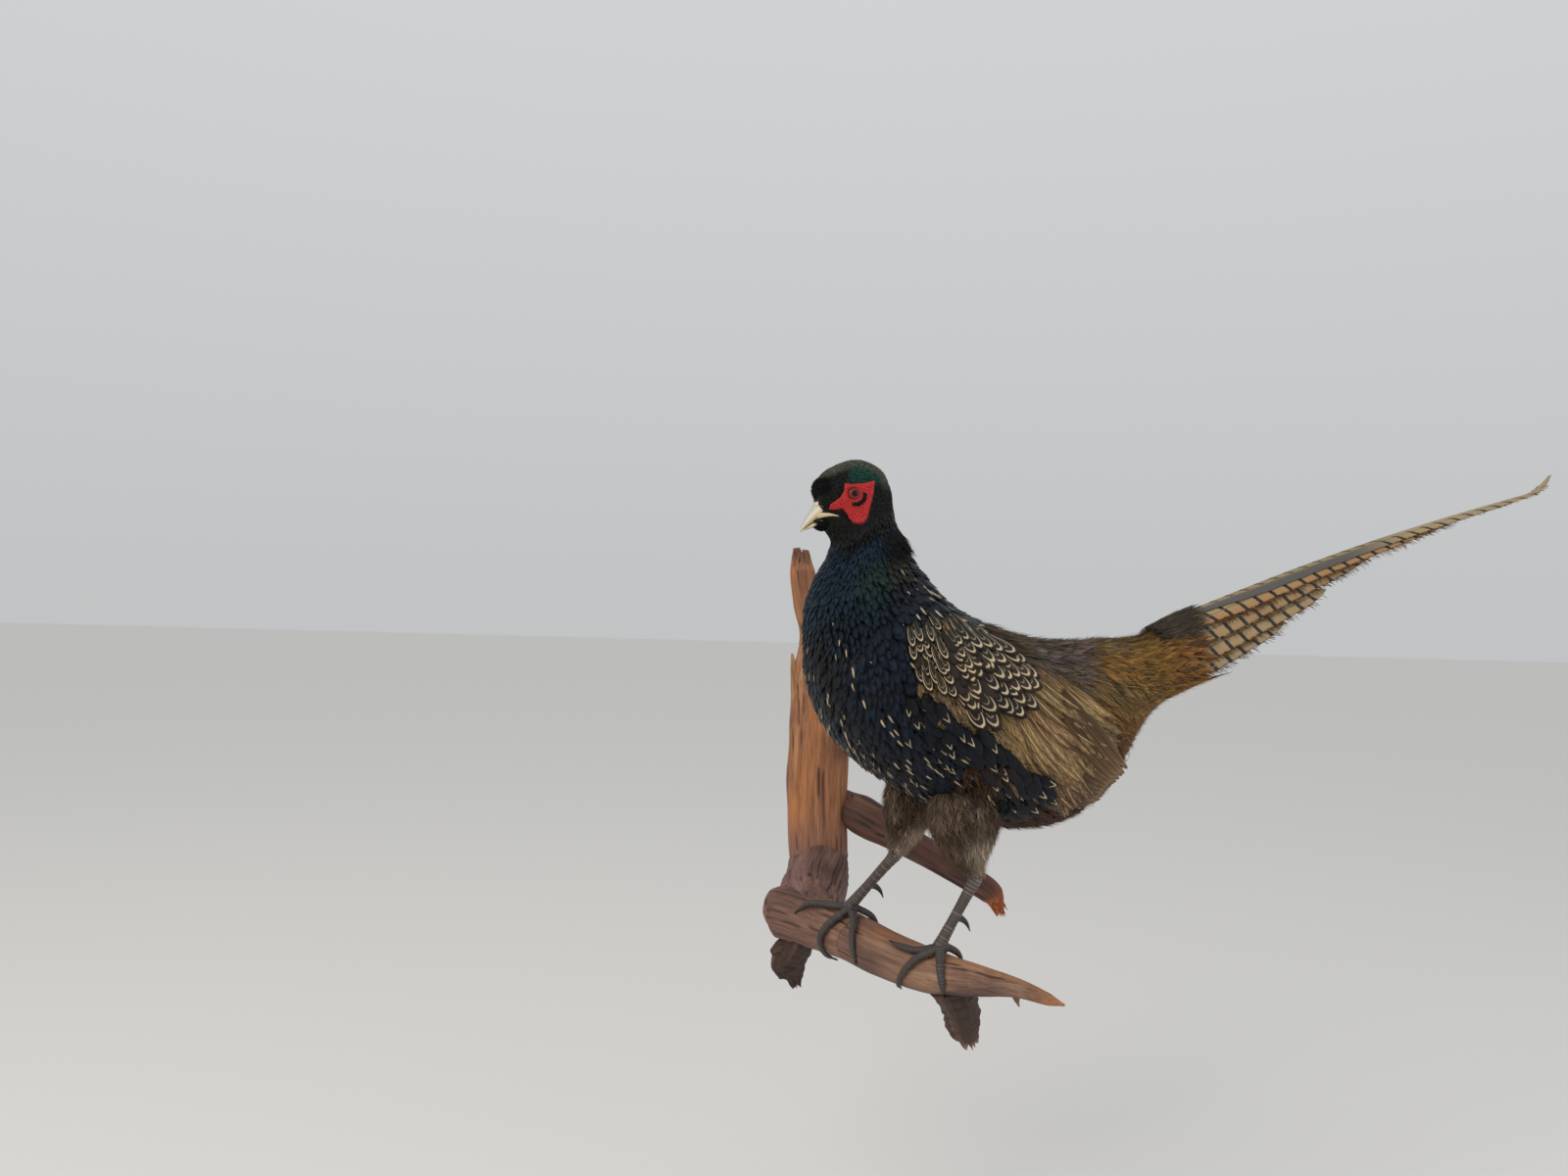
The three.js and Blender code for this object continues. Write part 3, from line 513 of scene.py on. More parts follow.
def plumageTint(s, a, n, noise=0):  # the markings, the same on skin and coat
    forward, _, up, _, _ = ringPlace(s, a)
    around = np.abs(a)
    dark = ease(-4, 4, insideBy(darkOutline, forward, up) + 4 * noise)
    gold = ease(-8, 8, insideBy(goldOutline, forward, up) + 7 * noise)
    rump = ease(-8, 8, insideBy(backOutline, forward, up) + 7 * noise)
    wing = ease(-4, 4, insideBy(wingOutline, forward, up) + 3 * noise)
    scapular = ease(-3, 4, insideBy(scapularOutline, forward, up) + 2 * noise)
    front = ease(np.radians(140), np.radians(168), around)
    belly = ease(-52, -66, up + 4 * noise) * ease(70, 40, forward)
    vent = ease(-40, -80, forward) * ease(95, 125, np.degrees(around))
    body = blendTints(
        [varied("#4f3d2d", n), varied("#86683d", n), varied("#65574f", n, 0.35), varied("#96682e", n, 0.3),
         varied("#513a2a", n, 0.3), varied("#58391f", n), varied("#2a2019", n, 0.3)],
        [0.05 + 0 * s, wing, rump * 1.4, gold * 1.2, 1.5 * belly, 1.2 * vent, 4 * scapular])
    ridge = ease(np.radians(80), np.radians(50), around) * ease(11.8, 10.5, s)
    breast = blendTints(
        [varied(colour, n, 0.4) for colour in ("#0a0d13", "#0c1525", "#15130e", "#0b120e", "#21160f")],
        [0.8 + 0 * s, ease(6.5, 9.5, s) * ease(12.2, 10.5, s) * (1 - front), 0.7 * front,
         1.5 * ridge, 1.8 * ridge * ease(0.6, 0.25, around + 0.2 * noise)])
    neck = blendTints(
        [varied(colour, n, 0.3) for colour in ("#0c1f2b", "#152a18", "#0f1f31", "#0b0a0d", "#2b1b14")],
        [ease(11, 12, s) * ease(13.9, 13.3, s),
         1.2 * ease(11.2, 12.2, s) * ease(13.2, 12.6, s) * ease(2.3, 1.7, around),
         1.2 * ease(12.9, 13.6, s) * ease(14.6, 14.1, s)
         + ease(2.2, 2.7, around) * ease(12, 13, s) * ease(15.3, 14.6, s),
         1.8 * ease(1.1, 0.6, around) + 2.2 * ease(13.9, 14.7, s) * ease(2.9, 2.3, around + 0.2 * noise),
         2.5 * ease(0.6, 0.9, around) * ease(1.6, 1.2, around) * ease(10.8, 11.4, s) * ease(12.9, 12.4, s)])
    # the paler grey-green over the crown's top is partly the feathers' own colour and partly painted sheen
    crown = blendTints(
        [varied(colour, n, 0.3) for colour in ("#0d0d0c", "#57584c", "#0f4038")],
        [0.5 + ease(1.3, 2.0, around), 1.2 * ease(0.95, 0.5, around) * ease(16.2, 17, s),
         2.2 * ease(0.55, 0.8, around) * ease(1.35, 1.1, around)
         * ease(16.7, 17.2, s) * ease(18.4, 17.9, s)])
    tint = mix(body, breast, dark[:, None])
    tint = mix(tint, neck, ease(10.8, 12.2, s + 0.5 * noise)[:, None])
    return mix(tint, crown, ease(14.6, 15.8, s)[:, None])


def makeSkin():  # one closed skin under the feathers, with the two thighs
    s = np.linspace(0, lastRib, 241)
    a = np.linspace(-np.pi, np.pi, 121)[:-1]
    gs, ga = gridOf(s, a)
    place, out, _, _ = bodySurface(gs, ga)
    forward, _, up, _, _ = ringPlace(gs, ga)
    rings = place + out * (wingRise(forward, up) - coatDepth(gs))[..., None]
    body = closedTube(rings)
    # painted shade: the skin shows only in the gaps under the feathers, so its tint and the thighs' are
    # darkened
    shade = skinSizes["shade"]
    parts, tints = [body], [capped(plumageTint(gs.ravel(), ga.ravel(), gs.size) * shade)]
    for leg in legs.values():
        thigh = thighPoint(leg, *gridOf(np.linspace(0, 1, 25), a[::3]),
                           -skinSizes["thighDepth"])
        parts.append(closedTube(thigh))
        tints.append(np.broadcast_to(linear(skinSizes["thigh"]) * shade, (len(parts[-1][0]), 3)))
    material, tree, shader = newMaterial("bird_skin", {"Roughness": 0.8})  # dull, tinted like its feathers and darkened as painted shade under them
    colour = addNode(tree, "Attribute", attribute_name="tint").outputs["Color"]
    tree.links.new(colour, shader.inputs["Base Color"])
    skin = newMesh("skin", *joinParts(parts), [material])
    setAttribute(skin, "tint", "FLOAT_COLOR", np.concatenate(tints))
    finish(skin, ("trunk", "neck", "head", "wing_left", "wing_right", "thigh_left",
                                   "thigh_right"))
    print("skin done")


# Thigh rows in the bird's own plane (forward, left, up, half length, half width), then the
# hock; foot as share along the log and degrees from its top; toes as places on the log,
# pad to claw tip.
legs = dict(
    left=dict(thigh=[[38, 28, -28, 24, 16], [38, 28, -50, 31, 20], [38, 28, -70, 32, 20],
                     [35, 26, -88, 24, 17], [29, 24.5, -102, 13, 11], [20.5, 21.5, -114, 6.8, 6.8]],
              hock=(19.9, 21.1, -115), foot=(0.578, 8), toes=[
        [(0.578, 8), (0.536, 32), (0.5, 36), (0.468, 30)],
        [(0.578, 14), (0.54, 52), (0.522, 84), (0.508, 118), (0.5, 150)],
        [(0.58, 16), (0.6, 66), (0.604, 98), (0.594, 138)],
        [(0.582, 0), (0.595, -30), (0.603, -60)]]),
    right=dict(thigh=[[46, -33, -28, 16, 14], [46, -33, -50, 22, 17], [46, -34, -70, 22.5, 18],
                      [46, -37, -86, 18, 15], [48, -40, -97, 11, 10], [50.5, -41.5, -105.5, 6.6, 6.6]],
               hock=(50.7, -41.7, -106), foot=(0.34, 8), toes=[
        [(0.34, 8), (0.28, 24), (0.228, 40), (0.193, 66)],
        [(0.34, 14), (0.318, 70), (0.308, 100), (0.312, 130), (0.322, 156)],
        [(0.345, 12), (0.372, 30), (0.392, 60), (0.408, 94), (0.408, 118)],
        [(0.345, 0), (0.36, -30), (0.372, -56)]]))


def thighPoint(leg, share, angle, grow=0):  # share 0 inside the flank, 1 at the hock
    table = np.array(leg["thigh"], float)
    forward, left, up, long, wide = np.moveaxis(rowsAt(table, share * (len(table) - 1)), -1, 0)
    return toMount(forward + (long + grow / mm) * np.cos(angle),
                   left - (wide + grow / mm) * np.sin(angle), up)


makeSkin()

smallVanes = [vaneShape(3, 4, 0.18, 0.3, tip=0.3) for _ in range(4)]
loopVanes = [vaneShape(7, 10, 0.015, 0.27, tip=0.96, root=0.45, widest=0.78) for _ in range(5)]
roundVanes = [vaneShape(4, 8, 0.04, 0.4, tip=0.8, root=0.45, widest=0.75) for _ in range(5)]
smallRounds = [vaneShape(4, 4, 0.03, 0.35, tip=0.7, root=0.5, widest=0.7) for _ in range(4)]
broadVanes = [vaneShape(6, 10, 0.05, 0.45, tip=0.9, root=0.5, widest=0.75) for _ in range(5)]
covertVanes = [vaneShape(8, 8, 0.1, 0.15, tip=0.42, root=0.6, widest=0.5) for _ in range(5)]
barbs = [bladeShape()]

darkLook = plumage("black_breast_feathers", dict(  # near black, blue-green gloss at grazing light
    barbs=130.0, barbDepth=0.08, shaft=dict(wide=0.2, start=0.48, colour="#cdb891"), fork=dict(spread=1.5),
    shader={"Roughness": 0.42, "Metallic": 0.15, "Specular IOR Level": 0.2, "Sheen Weight": 0.04,
            "Sheen Tint": rgba("#3a7f98"), "Sheen Roughness": 0.35}))
# Each coat's ribs, gaps along and across, length and half width, in mm.
darkCoats = dict(
    breast_feathers=dict(reach=(5.4, 11.0), along=5.6, across=6.2, length=13.5, half=4.3,
                         shapes=roundVanes, replaced=("trunk",)),
    throat_feathers=dict(reach=(10.7, 12.6), along=4.1, across=4.1, length=9.8, half=2.9,
                         shapes=smallRounds, replaced=()),
    neck_feathers=dict(reach=(12.3, 15.3), along=3.0, across=2.7, length=7.6, half=1.75,
                       shapes=smallRounds, replaced=("neck",)))
darkColours = dict(sheen="#142536", brown="#4a2f17", ring=470)  # sheen: the colour of the painted sheen on the tips; ring: mm round the body at its widest


def darkCoat():  # painted sheen on the tips above, brown by the thigh, cream streaks and forks below
    for name, size in darkCoats.items():
        meridians = int(darkColours["ring"] / size["across"])
        roots = bodyRoots(size["reach"], meridians, size["along"] * mm, size["across"] * mm, 0.2)
        keep = depthIn(darkOutline, roots) + 4 * roots["patchy"] > 0
        roots = pick(roots, keep)
        n = len(roots["s"])
        tint = plumageTint(roots["s"], roots["a"], n, roots["patchy"])
        flank = ease(85, 40, roots["forward"]) * ease(40, 10, roots["up"])
        low = ease(40, -20, roots["up"])
        # painted sheen: many tips turn navy blue, and on the neck a brighter copy of their own colour,
        # standing in for the gloss of the black feathers
        gloss = ease(10.5, 12.5, roots["s"])[:, None]
        sheen = mix(varied(darkColours["sheen"], n, 0.4), tint * 1.8, gloss)
        tip = mix(tint * 1.1, sheen, (0.75 * rng.random(n) ** 1.6 * (1 - 0.8 * flank))[:, None])
        gap = np.hypot((roots["forward"] - 46) / 26, (roots["up"] + 32) / 24)
        brown = (0.8 * ease(1.1, 0.5, gap) * (rng.random(n) < 0.75))[:, None]
        tint, tip = [mix(t, varied(darkColours["brown"], n, 0.4), brown) for t in (tint, tip)]
        grown = 1 + 0.1 * bell(n)
        luck = rng.random(n)
        middle = 0.14 * (np.abs(roots["a"]) < 1.4) * ease(12.6, 12.2, roots["s"])
        streak = luck < mix(0.06, 0.2, low) * ease(12.4, 11, roots["s"]) + middle
        streak = streak * (0.5 + 0.5 * rng.random(n))
        fork = (luck > 1 - mix(0.0, 0.11, low)) * (0.6 + 0.4 * rng.random(n))
        coat(name, roots | dict(
            length=size["length"] * mm * grown, half=size["half"] * mm * grown,
            base=-coatDepth(roots["s"]) + roots["rise0"], rise=0.15 + 0.05 * rng.random(n),
            lie=0.45 * flank + 0.12 * bell(n), camber=0.3, tint=tint, tipTint=tip,
            marks=np.stack([0 * luck, streak, fork], -1)),
            size["shapes"], darkLook, replaced=size["replaced"])


darkCoat()

# blue: the painted sheen mixed into the flank feathers' tips
flankSizes = dict(length=14.5, half=4.9, barbsEach=7, tufts=480,
                  black="#090a0f", brown="#2c1c10", blue="#0d1626", barb="#0b0b0f", rust="#6a4424",
                  tuftRoot="#26180f", tuftTip="#75502f")


def flankFeathers():  # soft black feathers of the flank, lying over the wing's edge
    roots = bodyRoots((4.8, 9.8), 62, 6.4 * mm, 6.8 * mm, 0.25)
    edge = depthIn(darkOutline, roots)
    around = np.abs(roots["a"])
    keep = (edge > -1.5) & (edge < 16) & (roots["up"] < 38) & (around > 0.9) & (around < 2.75)
    roots = pick(roots, keep)
    edge = edge[keep]
    n = len(roots["s"])
    brown = ease(1.1, 0.6, np.hypot((roots["forward"] - 50) / 22, (roots["up"] + 28) / 20))
    tint = mix(varied(flankSizes["black"], n, 0.4), varied(flankSizes["brown"], n, 0.4),
               (0.6 * brown)[:, None])
    luck = rng.random(n)
    fork = (luck < 0.3) * (0.6 + 0.4 * rng.random(n))
    # painted sheen: each tip is lightened and mixed with blue for the gloss of the black feathers
    coat("flank_feathers", roots | dict(
        length=(flankSizes["length"] + bell(n)) * mm,
        half=(flankSizes["half"] + 0.5 * bell(n)) * mm,
        base=roots["rise0"] + mix(2.2, -1.2, ease(2, 14, edge)) * mm, rise=0.16 + 0.08 * rng.random(n),
        lie=0.5 + 0.25 * bell(n), camber=0.34, tint=tint,
        tipTint=mix(tint * 1.3, varied(flankSizes["blue"], n, 0.4), 0.5),
        marks=np.stack([0 * luck, 0 * luck, fork], -1)), broadVanes, darkLook)
    many = np.repeat(np.arange(n), flankSizes["barbsEach"])
    rows = len(many)
    s = roots["s"][many] + 0.12 * bell(rows)
    a = roots["a"][many] + 0.05 * bell(rows)
    rust = (brown[many] * (rng.random(rows) < 0.8))[:, None]
    barbCoat("flank_barbs", dict(
        s=s, a=a, uv=bodyMap(s, a), length=mix(7, 15, rng.random(rows)) * mm, half=0.26 * mm,
        base=(roots["rise0"] + mix(2.4, -0.8, ease(2, 14, edge)) * mm)[many],
        rise=0.16 + 0.14 * rng.random(rows), lie=0.5 + 0.5 * bell(rows),
        bend=0.15 * bell(rows), rootShade=0.9,
        tint=mix(varied(flankSizes["barb"], rows, 0.4), varied(flankSizes["rust"], rows, 0.4), rust)))
    n = flankSizes["tufts"]  # rusty tufts over the front of the thigh
    turn, far = rng.uniform(0, 2 * np.pi, n), np.sqrt(rng.random(n))
    ahead, up = 46 + 18 * far * np.cos(turn), -18 + 22 * far * np.sin(turn)
    s, a = np.concatenate([placeAt(ahead, up, (4, 10), side) for side in (1, -1)], 1)
    n = len(s)
    barbCoat("flank_rust", dict(
        s=s, a=a, uv=bodyMap(s, a), length=mix(7, 15, rng.random(n)) * mm, half=0.3 * mm,
        base=mix(1.2, 3.2, rng.random(n)) * mm, rise=0.14 + 0.2 * rng.random(n),
        lie=0.6 + 0.5 * bell(n), bend=0.2 * bell(n), rootShade=0.8,
        tint=mix(varied(flankSizes["tuftRoot"], n, 0.4), varied(flankSizes["tuftTip"], n, 0.4),
                 rng.random((n, 1)) ** 1.5)))


# The bare skin's edge on the cheek (forward, up) in mm from the neck's pivot.
wattleOutline = np.array([
    [34.5, 163], [33.8, 167], [27.3, 172.1], [24.5, 177.2], [24.1, 182.8], [19.1, 182.3],
    [9.7, 183.4], [0.5, 185.9], [1.6, 181], [2.2, 176.2], [5.3, 165.9], [7.3, 159.4],
    [8.6, 156], [10.6, 153.9], [14, 153], [17.6, 154], [20.4, 157], [22.4, 160.6], [25.2, 164],
    [29.8, 162.8]])
headSizes = dict(eye=5.3 * mm, eyePlace=(17.4, 16.6, 175.1), lidTube=0.62 * mm, lidTurn=0.7,
                 skinRise=0.9 * mm, papilla=0.45 * mm, tuft=((33.4, 0.0, 178.4), (9.4, 12.6, 9.6)),
                 chin=((34.5, 0.0, 154.0), (8.4, 8.6, 5.6)), flare=2600, bristles=420)


def faceInside(s, a):  # distance inside the bare red skin, in mm on the head's own plane
    forward, _, up, _, _ = ringPlace(s, a)
    return np.where(s > 14.6, insideBy(wattleOutline, forward - neckPivot, up), -50.0)


def placeAt(forward, up, reach=(14.5, 20), side=1):  # rib position and angle of side-view places
    s, a = [grid.ravel() for grid in gridOf(
        np.linspace(*reach, 240), np.linspace(0.02, 3.1, 200))]
    ahead, _, over, _, _ = ringPlace(s, a)
    gap = np.hypot(ahead[None] - np.ravel(forward)[:, None], over[None] - np.ravel(up)[:, None])
    best = np.argmin(gap, axis=1)
    return s[best], side * a[best]


def headAxes(side):  # forward, outward and up of the head as rows
    middle = onHead(0, 0, 0)
    return unit(np.stack([onHead(1, 0, 0) - middle, onHead(0, side, 0) - middle, onHead(0, 0, 1) - middle]))


def polarRings(centre, radii, axes, span=(np.pi - 0.06, 0.06), rows=18, around=28):
    # rings of an egg about its last axis: distance out from the pole, then turned about it
    polar, turn = gridOf(np.linspace(*span, rows), turns(around))
    spot = np.stack([np.sin(polar) * np.cos(turn), np.sin(polar) * np.sin(turn), np.cos(polar)], -1)
    return centre + (spot * radii) @ axes, polar


skinColours = dict(grain="#b3141a", bead="#e0342c", beadTint="#c81e1e", hollow="#9c1217", lid="#86190f")
redSkin, redTree, redShader = newMaterial("wattle_skin", {  # wet-looking red skin with fine grains
    "Roughness": 0.45, "Subsurface Weight": 0.15, "Subsurface Scale": 0.002})
redNoise = addNode(redTree, "TexNoise", {"Scale": 700.0, "Detail": 2.0}).outputs["Fac"]
redMix = addNode(redTree, "Mix", {0: redNoise, 6: rgba(skinColours["grain"]), 7: rgba(skinColours["bead"])},
                 data_type="RGBA")
redTree.links.new(redMix.outputs[2], redShader.inputs["Base Color"])
glass, glassTree, glassShader = newMaterial("glass_eye", {  # dark glass with a brown iris
    "Roughness": 0.16, "Specular IOR Level": 0.22})
polarPlace = addNode(glassTree, "Attribute", attribute_name="polar").outputs["Fac"]
iris = addNode(glassTree, "ValToRGB", {0: polarPlace}, stops=[
    (0.0, rgba("#050404")), (0.105, rgba("#050404")), (0.125, rgba("#3d1a10")), (0.19, rgba("#6a2c1a")),
    (0.22, rgba("#0a0605"))])
glassTree.links.new(iris.outputs[0], glassShader.inputs["Base Color"])
deepSkin = newMaterial("wattle_hollows", {  # darker red skin between the grains
    "Base Color": rgba(skinColours["hollow"]), "Roughness": 0.5})[0]
lidSkin = newMaterial("eyelid_skin", {  # darker bare skin of the lid's rim
    "Base Color": rgba(skinColours["lid"]), "Roughness": 0.5})[0]


def domeShape(around=6):  # low closed dome, six-sided
    turn = turns(around)
    rings = [(1.0, 0.0), (0.72, 0.62)]
    x = np.concatenate([r * np.cos(turn) for r, _ in rings] + [[0, 0]])
    y = np.concatenate([r * np.sin(turn) for r, _ in rings] + [[0, 0]])
    over = np.concatenate([np.full(around, h) for _, h in rings] + [[0.95, -0.5]])
    low, high = np.arange(around), around + np.arange(around)
    sides = np.stack([low, np.roll(low, -1), np.roll(high, -1), high], -1)
    fans = np.concatenate([np.stack([high, np.roll(high, -1), np.full(around, 2 * around)], -1),
                           np.stack([np.roll(low, -1), low, np.full(around, 2 * around + 1)], -1)])
    return dict(x=x, y=y, u=np.clip(0.5 + x / 2, 0, 1), v=y, over=over, under=0 * x,
                faces=[sides, fans], flat=())


def faceSkin():  # raised bare skin of each cheek, with folds round the eye
    parts = []
    for side in (1, -1):
        s, a = gridOf(np.linspace(14.7, 19.3, 112), side * np.linspace(0.55, 2.6, 98))
        forward, _, up, _, _ = ringPlace(s, a)
        eyeAhead, _, eyeUp = headSizes["eyePlace"]
        gap = np.hypot(forward - neckPivot - eyeAhead, up - eyeUp)
        here, out, _, _ = bodySurface(s, a)
        inside = faceInside(s, a)
        fold = np.exp(-((gap - 6.4) / 0.5) ** 2) + np.exp(-((gap - 8.4) / 0.6) ** 2)
        fold = 0.3 * fold * ease(2, -3, up - eyeUp)
        grain = 0.16 * lumps(here / (0.9 * mm), 12) + 0.22 * lumps(here / (3 * mm), 13)
        rise = mix(-1.3, headSizes["skinRise"] / mm, ease(-0.8, 1.0, inside))
        rise = rise + (fold + grain) * ease(0, 1, inside)
        top = here + out * (rise * mm)[..., None]
        low = here - out * 2.2 * mm
        parts.append(closedTube(np.concatenate([top, low[:, ::-1]], 1)))
    skin = newMesh("face_skin", *joinParts(parts), [deepSkin])
    finish(skin, ("wattle_left", "wattle_right"))


def makeFace():  # cheeks, their beads, glass eyes and lids
    faceSkin()
    s, a = scatter(bodyPoint, (14.8, 19.4), 192, 0.76 * mm, 0.72 * mm).T
    s = s + 0.006 * bell(len(s))
    a = a + 0.012 * bell(len(s))
    inside = faceInside(s, a)
    forward, _, up, _, _ = ringPlace(s, a)
    eyeAhead, eyeOut, eyeUp = headSizes["eyePlace"]
    eyeGap = np.hypot(forward - neckPivot - eyeAhead, up - eyeUp)
    keep = (inside > 0.5) & (eyeGap > 4.6)
    s, a, inside = s[keep], a[keep], inside[keep]
    n = len(s)
    size = headSizes["papilla"] * (0.75 + 0.45 * rng.random(n)) * mix(0.7, 1, ease(0, 2, inside))
    coat("wattle_beads", dict(
        s=s, a=a, uv=bodyMap(s, a), length=size, half=size, rise=0, camber=0, thick=0,
        base=mix(0.0001, 0.001, ease(0, 1.6, inside)) + 0.0002 * rng.random(n), rootShade=1.0,
        tint=varied(skinColours["beadTint"], n)), [domeShape()], redSkin, "wattle_skin")
    shells, polars, lids = [], [], []
    for side in (1, -1):
        axes = headAxes(side)[[0, 2, 1]]
        centre = onHead(eyeAhead, side * eyeOut, eyeUp)
        rings, polar = polarRings(centre, headSizes["eye"], axes)
        shells.append(closedTube(rings))
        polars += [polar.ravel(), [np.pi, 0.0]]
        turn, tube = gridOf(turns(56), turns(12))
        grain = 1 + 0.16 * np.sin(14 * turn) * np.sin(3 * tube)
        thick = headSizes["lidTube"] * grain * (1 + 0.15 * np.cos(2 * turn))
        polar = headSizes["lidTurn"] * (1 + 0.1 * np.cos(2 * turn)) + thick * np.cos(tube) / headSizes["eye"]
        far = headSizes["eye"] + thick * np.sin(tube) + 0.0001
        spot = np.stack([np.sin(polar) * np.cos(turn), np.sin(polar) * np.sin(turn), np.cos(polar)], -1)
        points = (centre + (spot * far[..., None]) @ axes).reshape(-1, 3)
        quads = gridFaces(57, 12, wrap=True) % (56 * 12)
        lids.append((points, [quads if side > 0 else quads[:, ::-1]]))
    eyes = newMesh("eyes", *joinParts(shells), [glass])
    setAttribute(eyes, "polar", "FLOAT", np.concatenate(polars) / np.pi)
    finish(eyes, ("eye_left", "eye_right"))
    lidPiece = newMesh("eyelids", *joinParts(lids), [lidSkin])
    finish(lidPiece)
    print("face and eyes done")


makeFace()

velvet = plumage("black_head_feathers", dict(  # short, dense and dull with a slight green gloss
    barbs=30.0, shader={"Roughness": 0.5, "Metallic": 0.15, "Specular IOR Level": 0.2, "Sheen Weight": 0.05,
                        "Sheen Tint": rgba("#3a6a60"), "Sheen Roughness": 0.4}))
hair = plumage("loose_barbs", dict(  # soft loose barbs of body and flank feathers
    barbs=8.0, barbDepth=0.05, shader={"Roughness": 0.65, "Specular IOR Level": 0.2}))


def shaggy(name, egg, reach, around, count, length, colour):
    # barbs over an egg on the head, running to its front pole: s from the pole, a round it from the top
    (ahead, left, up), (long, wide, high) = egg

    def point(s, a):  # on the egg
        return onHead(ahead + long * np.cos(s), left - wide * np.sin(s) * np.sin(a),
                      up + high * np.sin(s) * np.cos(a))
    s, a = rng.uniform(*reach, count), rng.uniform(*around, count)
    barbCoat(name, surface=lambda p, q: surfaceWithNormal(point, p, q, 0.01, 0.01), roots=dict(
        s=s, a=a, uv=np.stack([0.5 + a / 7, 0.3 + s / 7], -1), length=mix(*length, rng.random(count)) * mm,
        half=0.27 * mm, base=-0.9 * mm, rise=0.12 + 0.4 * rng.random(count),
        lie=0.4 * bell(count), power=1.0, bend=0.15 * bell(count),
        tint=varied(colour, count, 0.5), rootShade=0.8))


mouthOutline = np.array([[42, 162.5], [34, 161], [28.5, 159.8], [26.5, 158.4], [30, 157], [42, 156.5]])


def headCoat():  # short dense feathers, tufts by the bill, the nape's flare and the eye's bristles
    s, a = scatter(bodyPoint, (14.6, 19.95), 128, 1.55 * mm, 1.5 * mm).T
    s, a = s + 0.05 * bell(len(s)), a + 0.03 * bell(len(s))
    s = np.clip(s, 14.4, 19.98)
    forward, _, up, _, _ = ringPlace(s, a)
    mouth = insideBy(mouthOutline, forward - neckPivot, up)
    face = faceInside(s, a)
    keep = (face < -0.3) & (mouth < -0.2)
    s, a, face, mouth = s[keep], a[keep], face[keep], mouth[keep]
    n = len(s)
    here = bodyPoint(s, a)
    tint = plumageTint(s, a, n, lumps(here / (8 * mm)))
    small = mix(1, 0.62, np.maximum(ease(-4, -0.5, np.maximum(face, mouth)), ease(18.6, 19.6, s)))
    coat("head_feathers", dict(
        s=s, a=a, uv=bodyMap(s, a), length=4.8 * mm * small * (1 + 0.12 * bell(n)),
        half=1.15 * mm * small, base=-0.55 * mm, rise=0.075 + 0.035 * rng.random(n),
        lie=0.16 * bell(n), camber=0.3, tint=tint, tipTint=tint * 1.5, rootShade=0.75),
        smallVanes, velvet, replaced=("head",))
    shaggy("forehead_tuft", headSizes["tuft"], (0.25, 1.9), (-np.pi, np.pi), 3100, (4.2, 7), "#0a0909")
    shaggy("chin_bristles", headSizes["chin"], (0.3, 2.1), (1.35, 4.93), 1500, (3.5, 5.5), "#0c0b0c")
    n = headSizes["flare"]
    s, a = rng.uniform(12.6, 14.5, n), np.clip(bell(n) * 0.55, -1.3, 1.3)
    barbCoat("nape_flare", dict(
        s=s, a=a, uv=bodyMap(s, a), length=mix(8, 16, rng.random(n)) * mm, half=0.42 * mm, base=-1.2 * mm,
        rise=0.1 + 0.34 * rng.random(n) * ease(14.3, 13.2, s), lie=0.2 * bell(n), power=1.0,
        bend=0.1 * bell(n), tint=varied("#131013", n, 0.4), rootShade=0.8))
    n = headSizes["bristles"]  # dark comma on the bare skin, below and behind the eye
    turn = rng.uniform(-0.15, 1.8, n)
    far = 7.3 + 0.5 * bell(n) * ease(2.0, 1.2, turn)
    eyeAhead, _, eyeUp = headSizes["eyePlace"]
    ahead, up = neckPivot + eyeAhead - far * np.cos(turn), eyeUp - far * np.sin(turn)
    s, a = np.concatenate([placeAt(ahead, up, side=side) for side in (1, -1)], 1)
    n = len(s)
    barbCoat("eye_bristles", dict(
        s=s, a=a, uv=bodyMap(s, a), length=2.0 * mm, half=0.2 * mm, base=1.5 * mm, rise=0.12,
        lie=0.25 * bell(n), bend=0.2 * bell(n), tint=varied("#0c0a0c", n)))


headCoat()

# Bill halves: upper edge (forward, up), lower edge (forward, up), half width, in mm from
# the head's turning axis.
upperBill = np.array([
    [40.6, 169.6, 35.6, 158.2, 9.4], [42.6, 166.6, 37.8, 156.6, 7.9], [45, 163.2, 40.6, 155.2, 6.3],
    [47.7, 158.8, 43.6, 153.2, 4.9], [50.1, 154.6, 46.8, 150.9, 3.6], [51.9, 150.8, 49.6, 148.4, 2],
    [52.6, 147.6, 51.9, 146.4, 0.6]])
lowerBill = np.array([
    [36, 159, 36.2, 151.6, 7], [39.6, 156.6, 39.8, 150.9, 5.8], [43, 154, 43.2, 150, 4.6],
    [46, 151.6, 46.2, 148.8, 3], [48.8, 149.4, 48.8, 147.8, 1]])
billSizes = dict(nostril=(38.4, 3.7, 166.9), nostrilRadii=(3.3, 3.0, 4.3), gape=(2.2, 0.2))


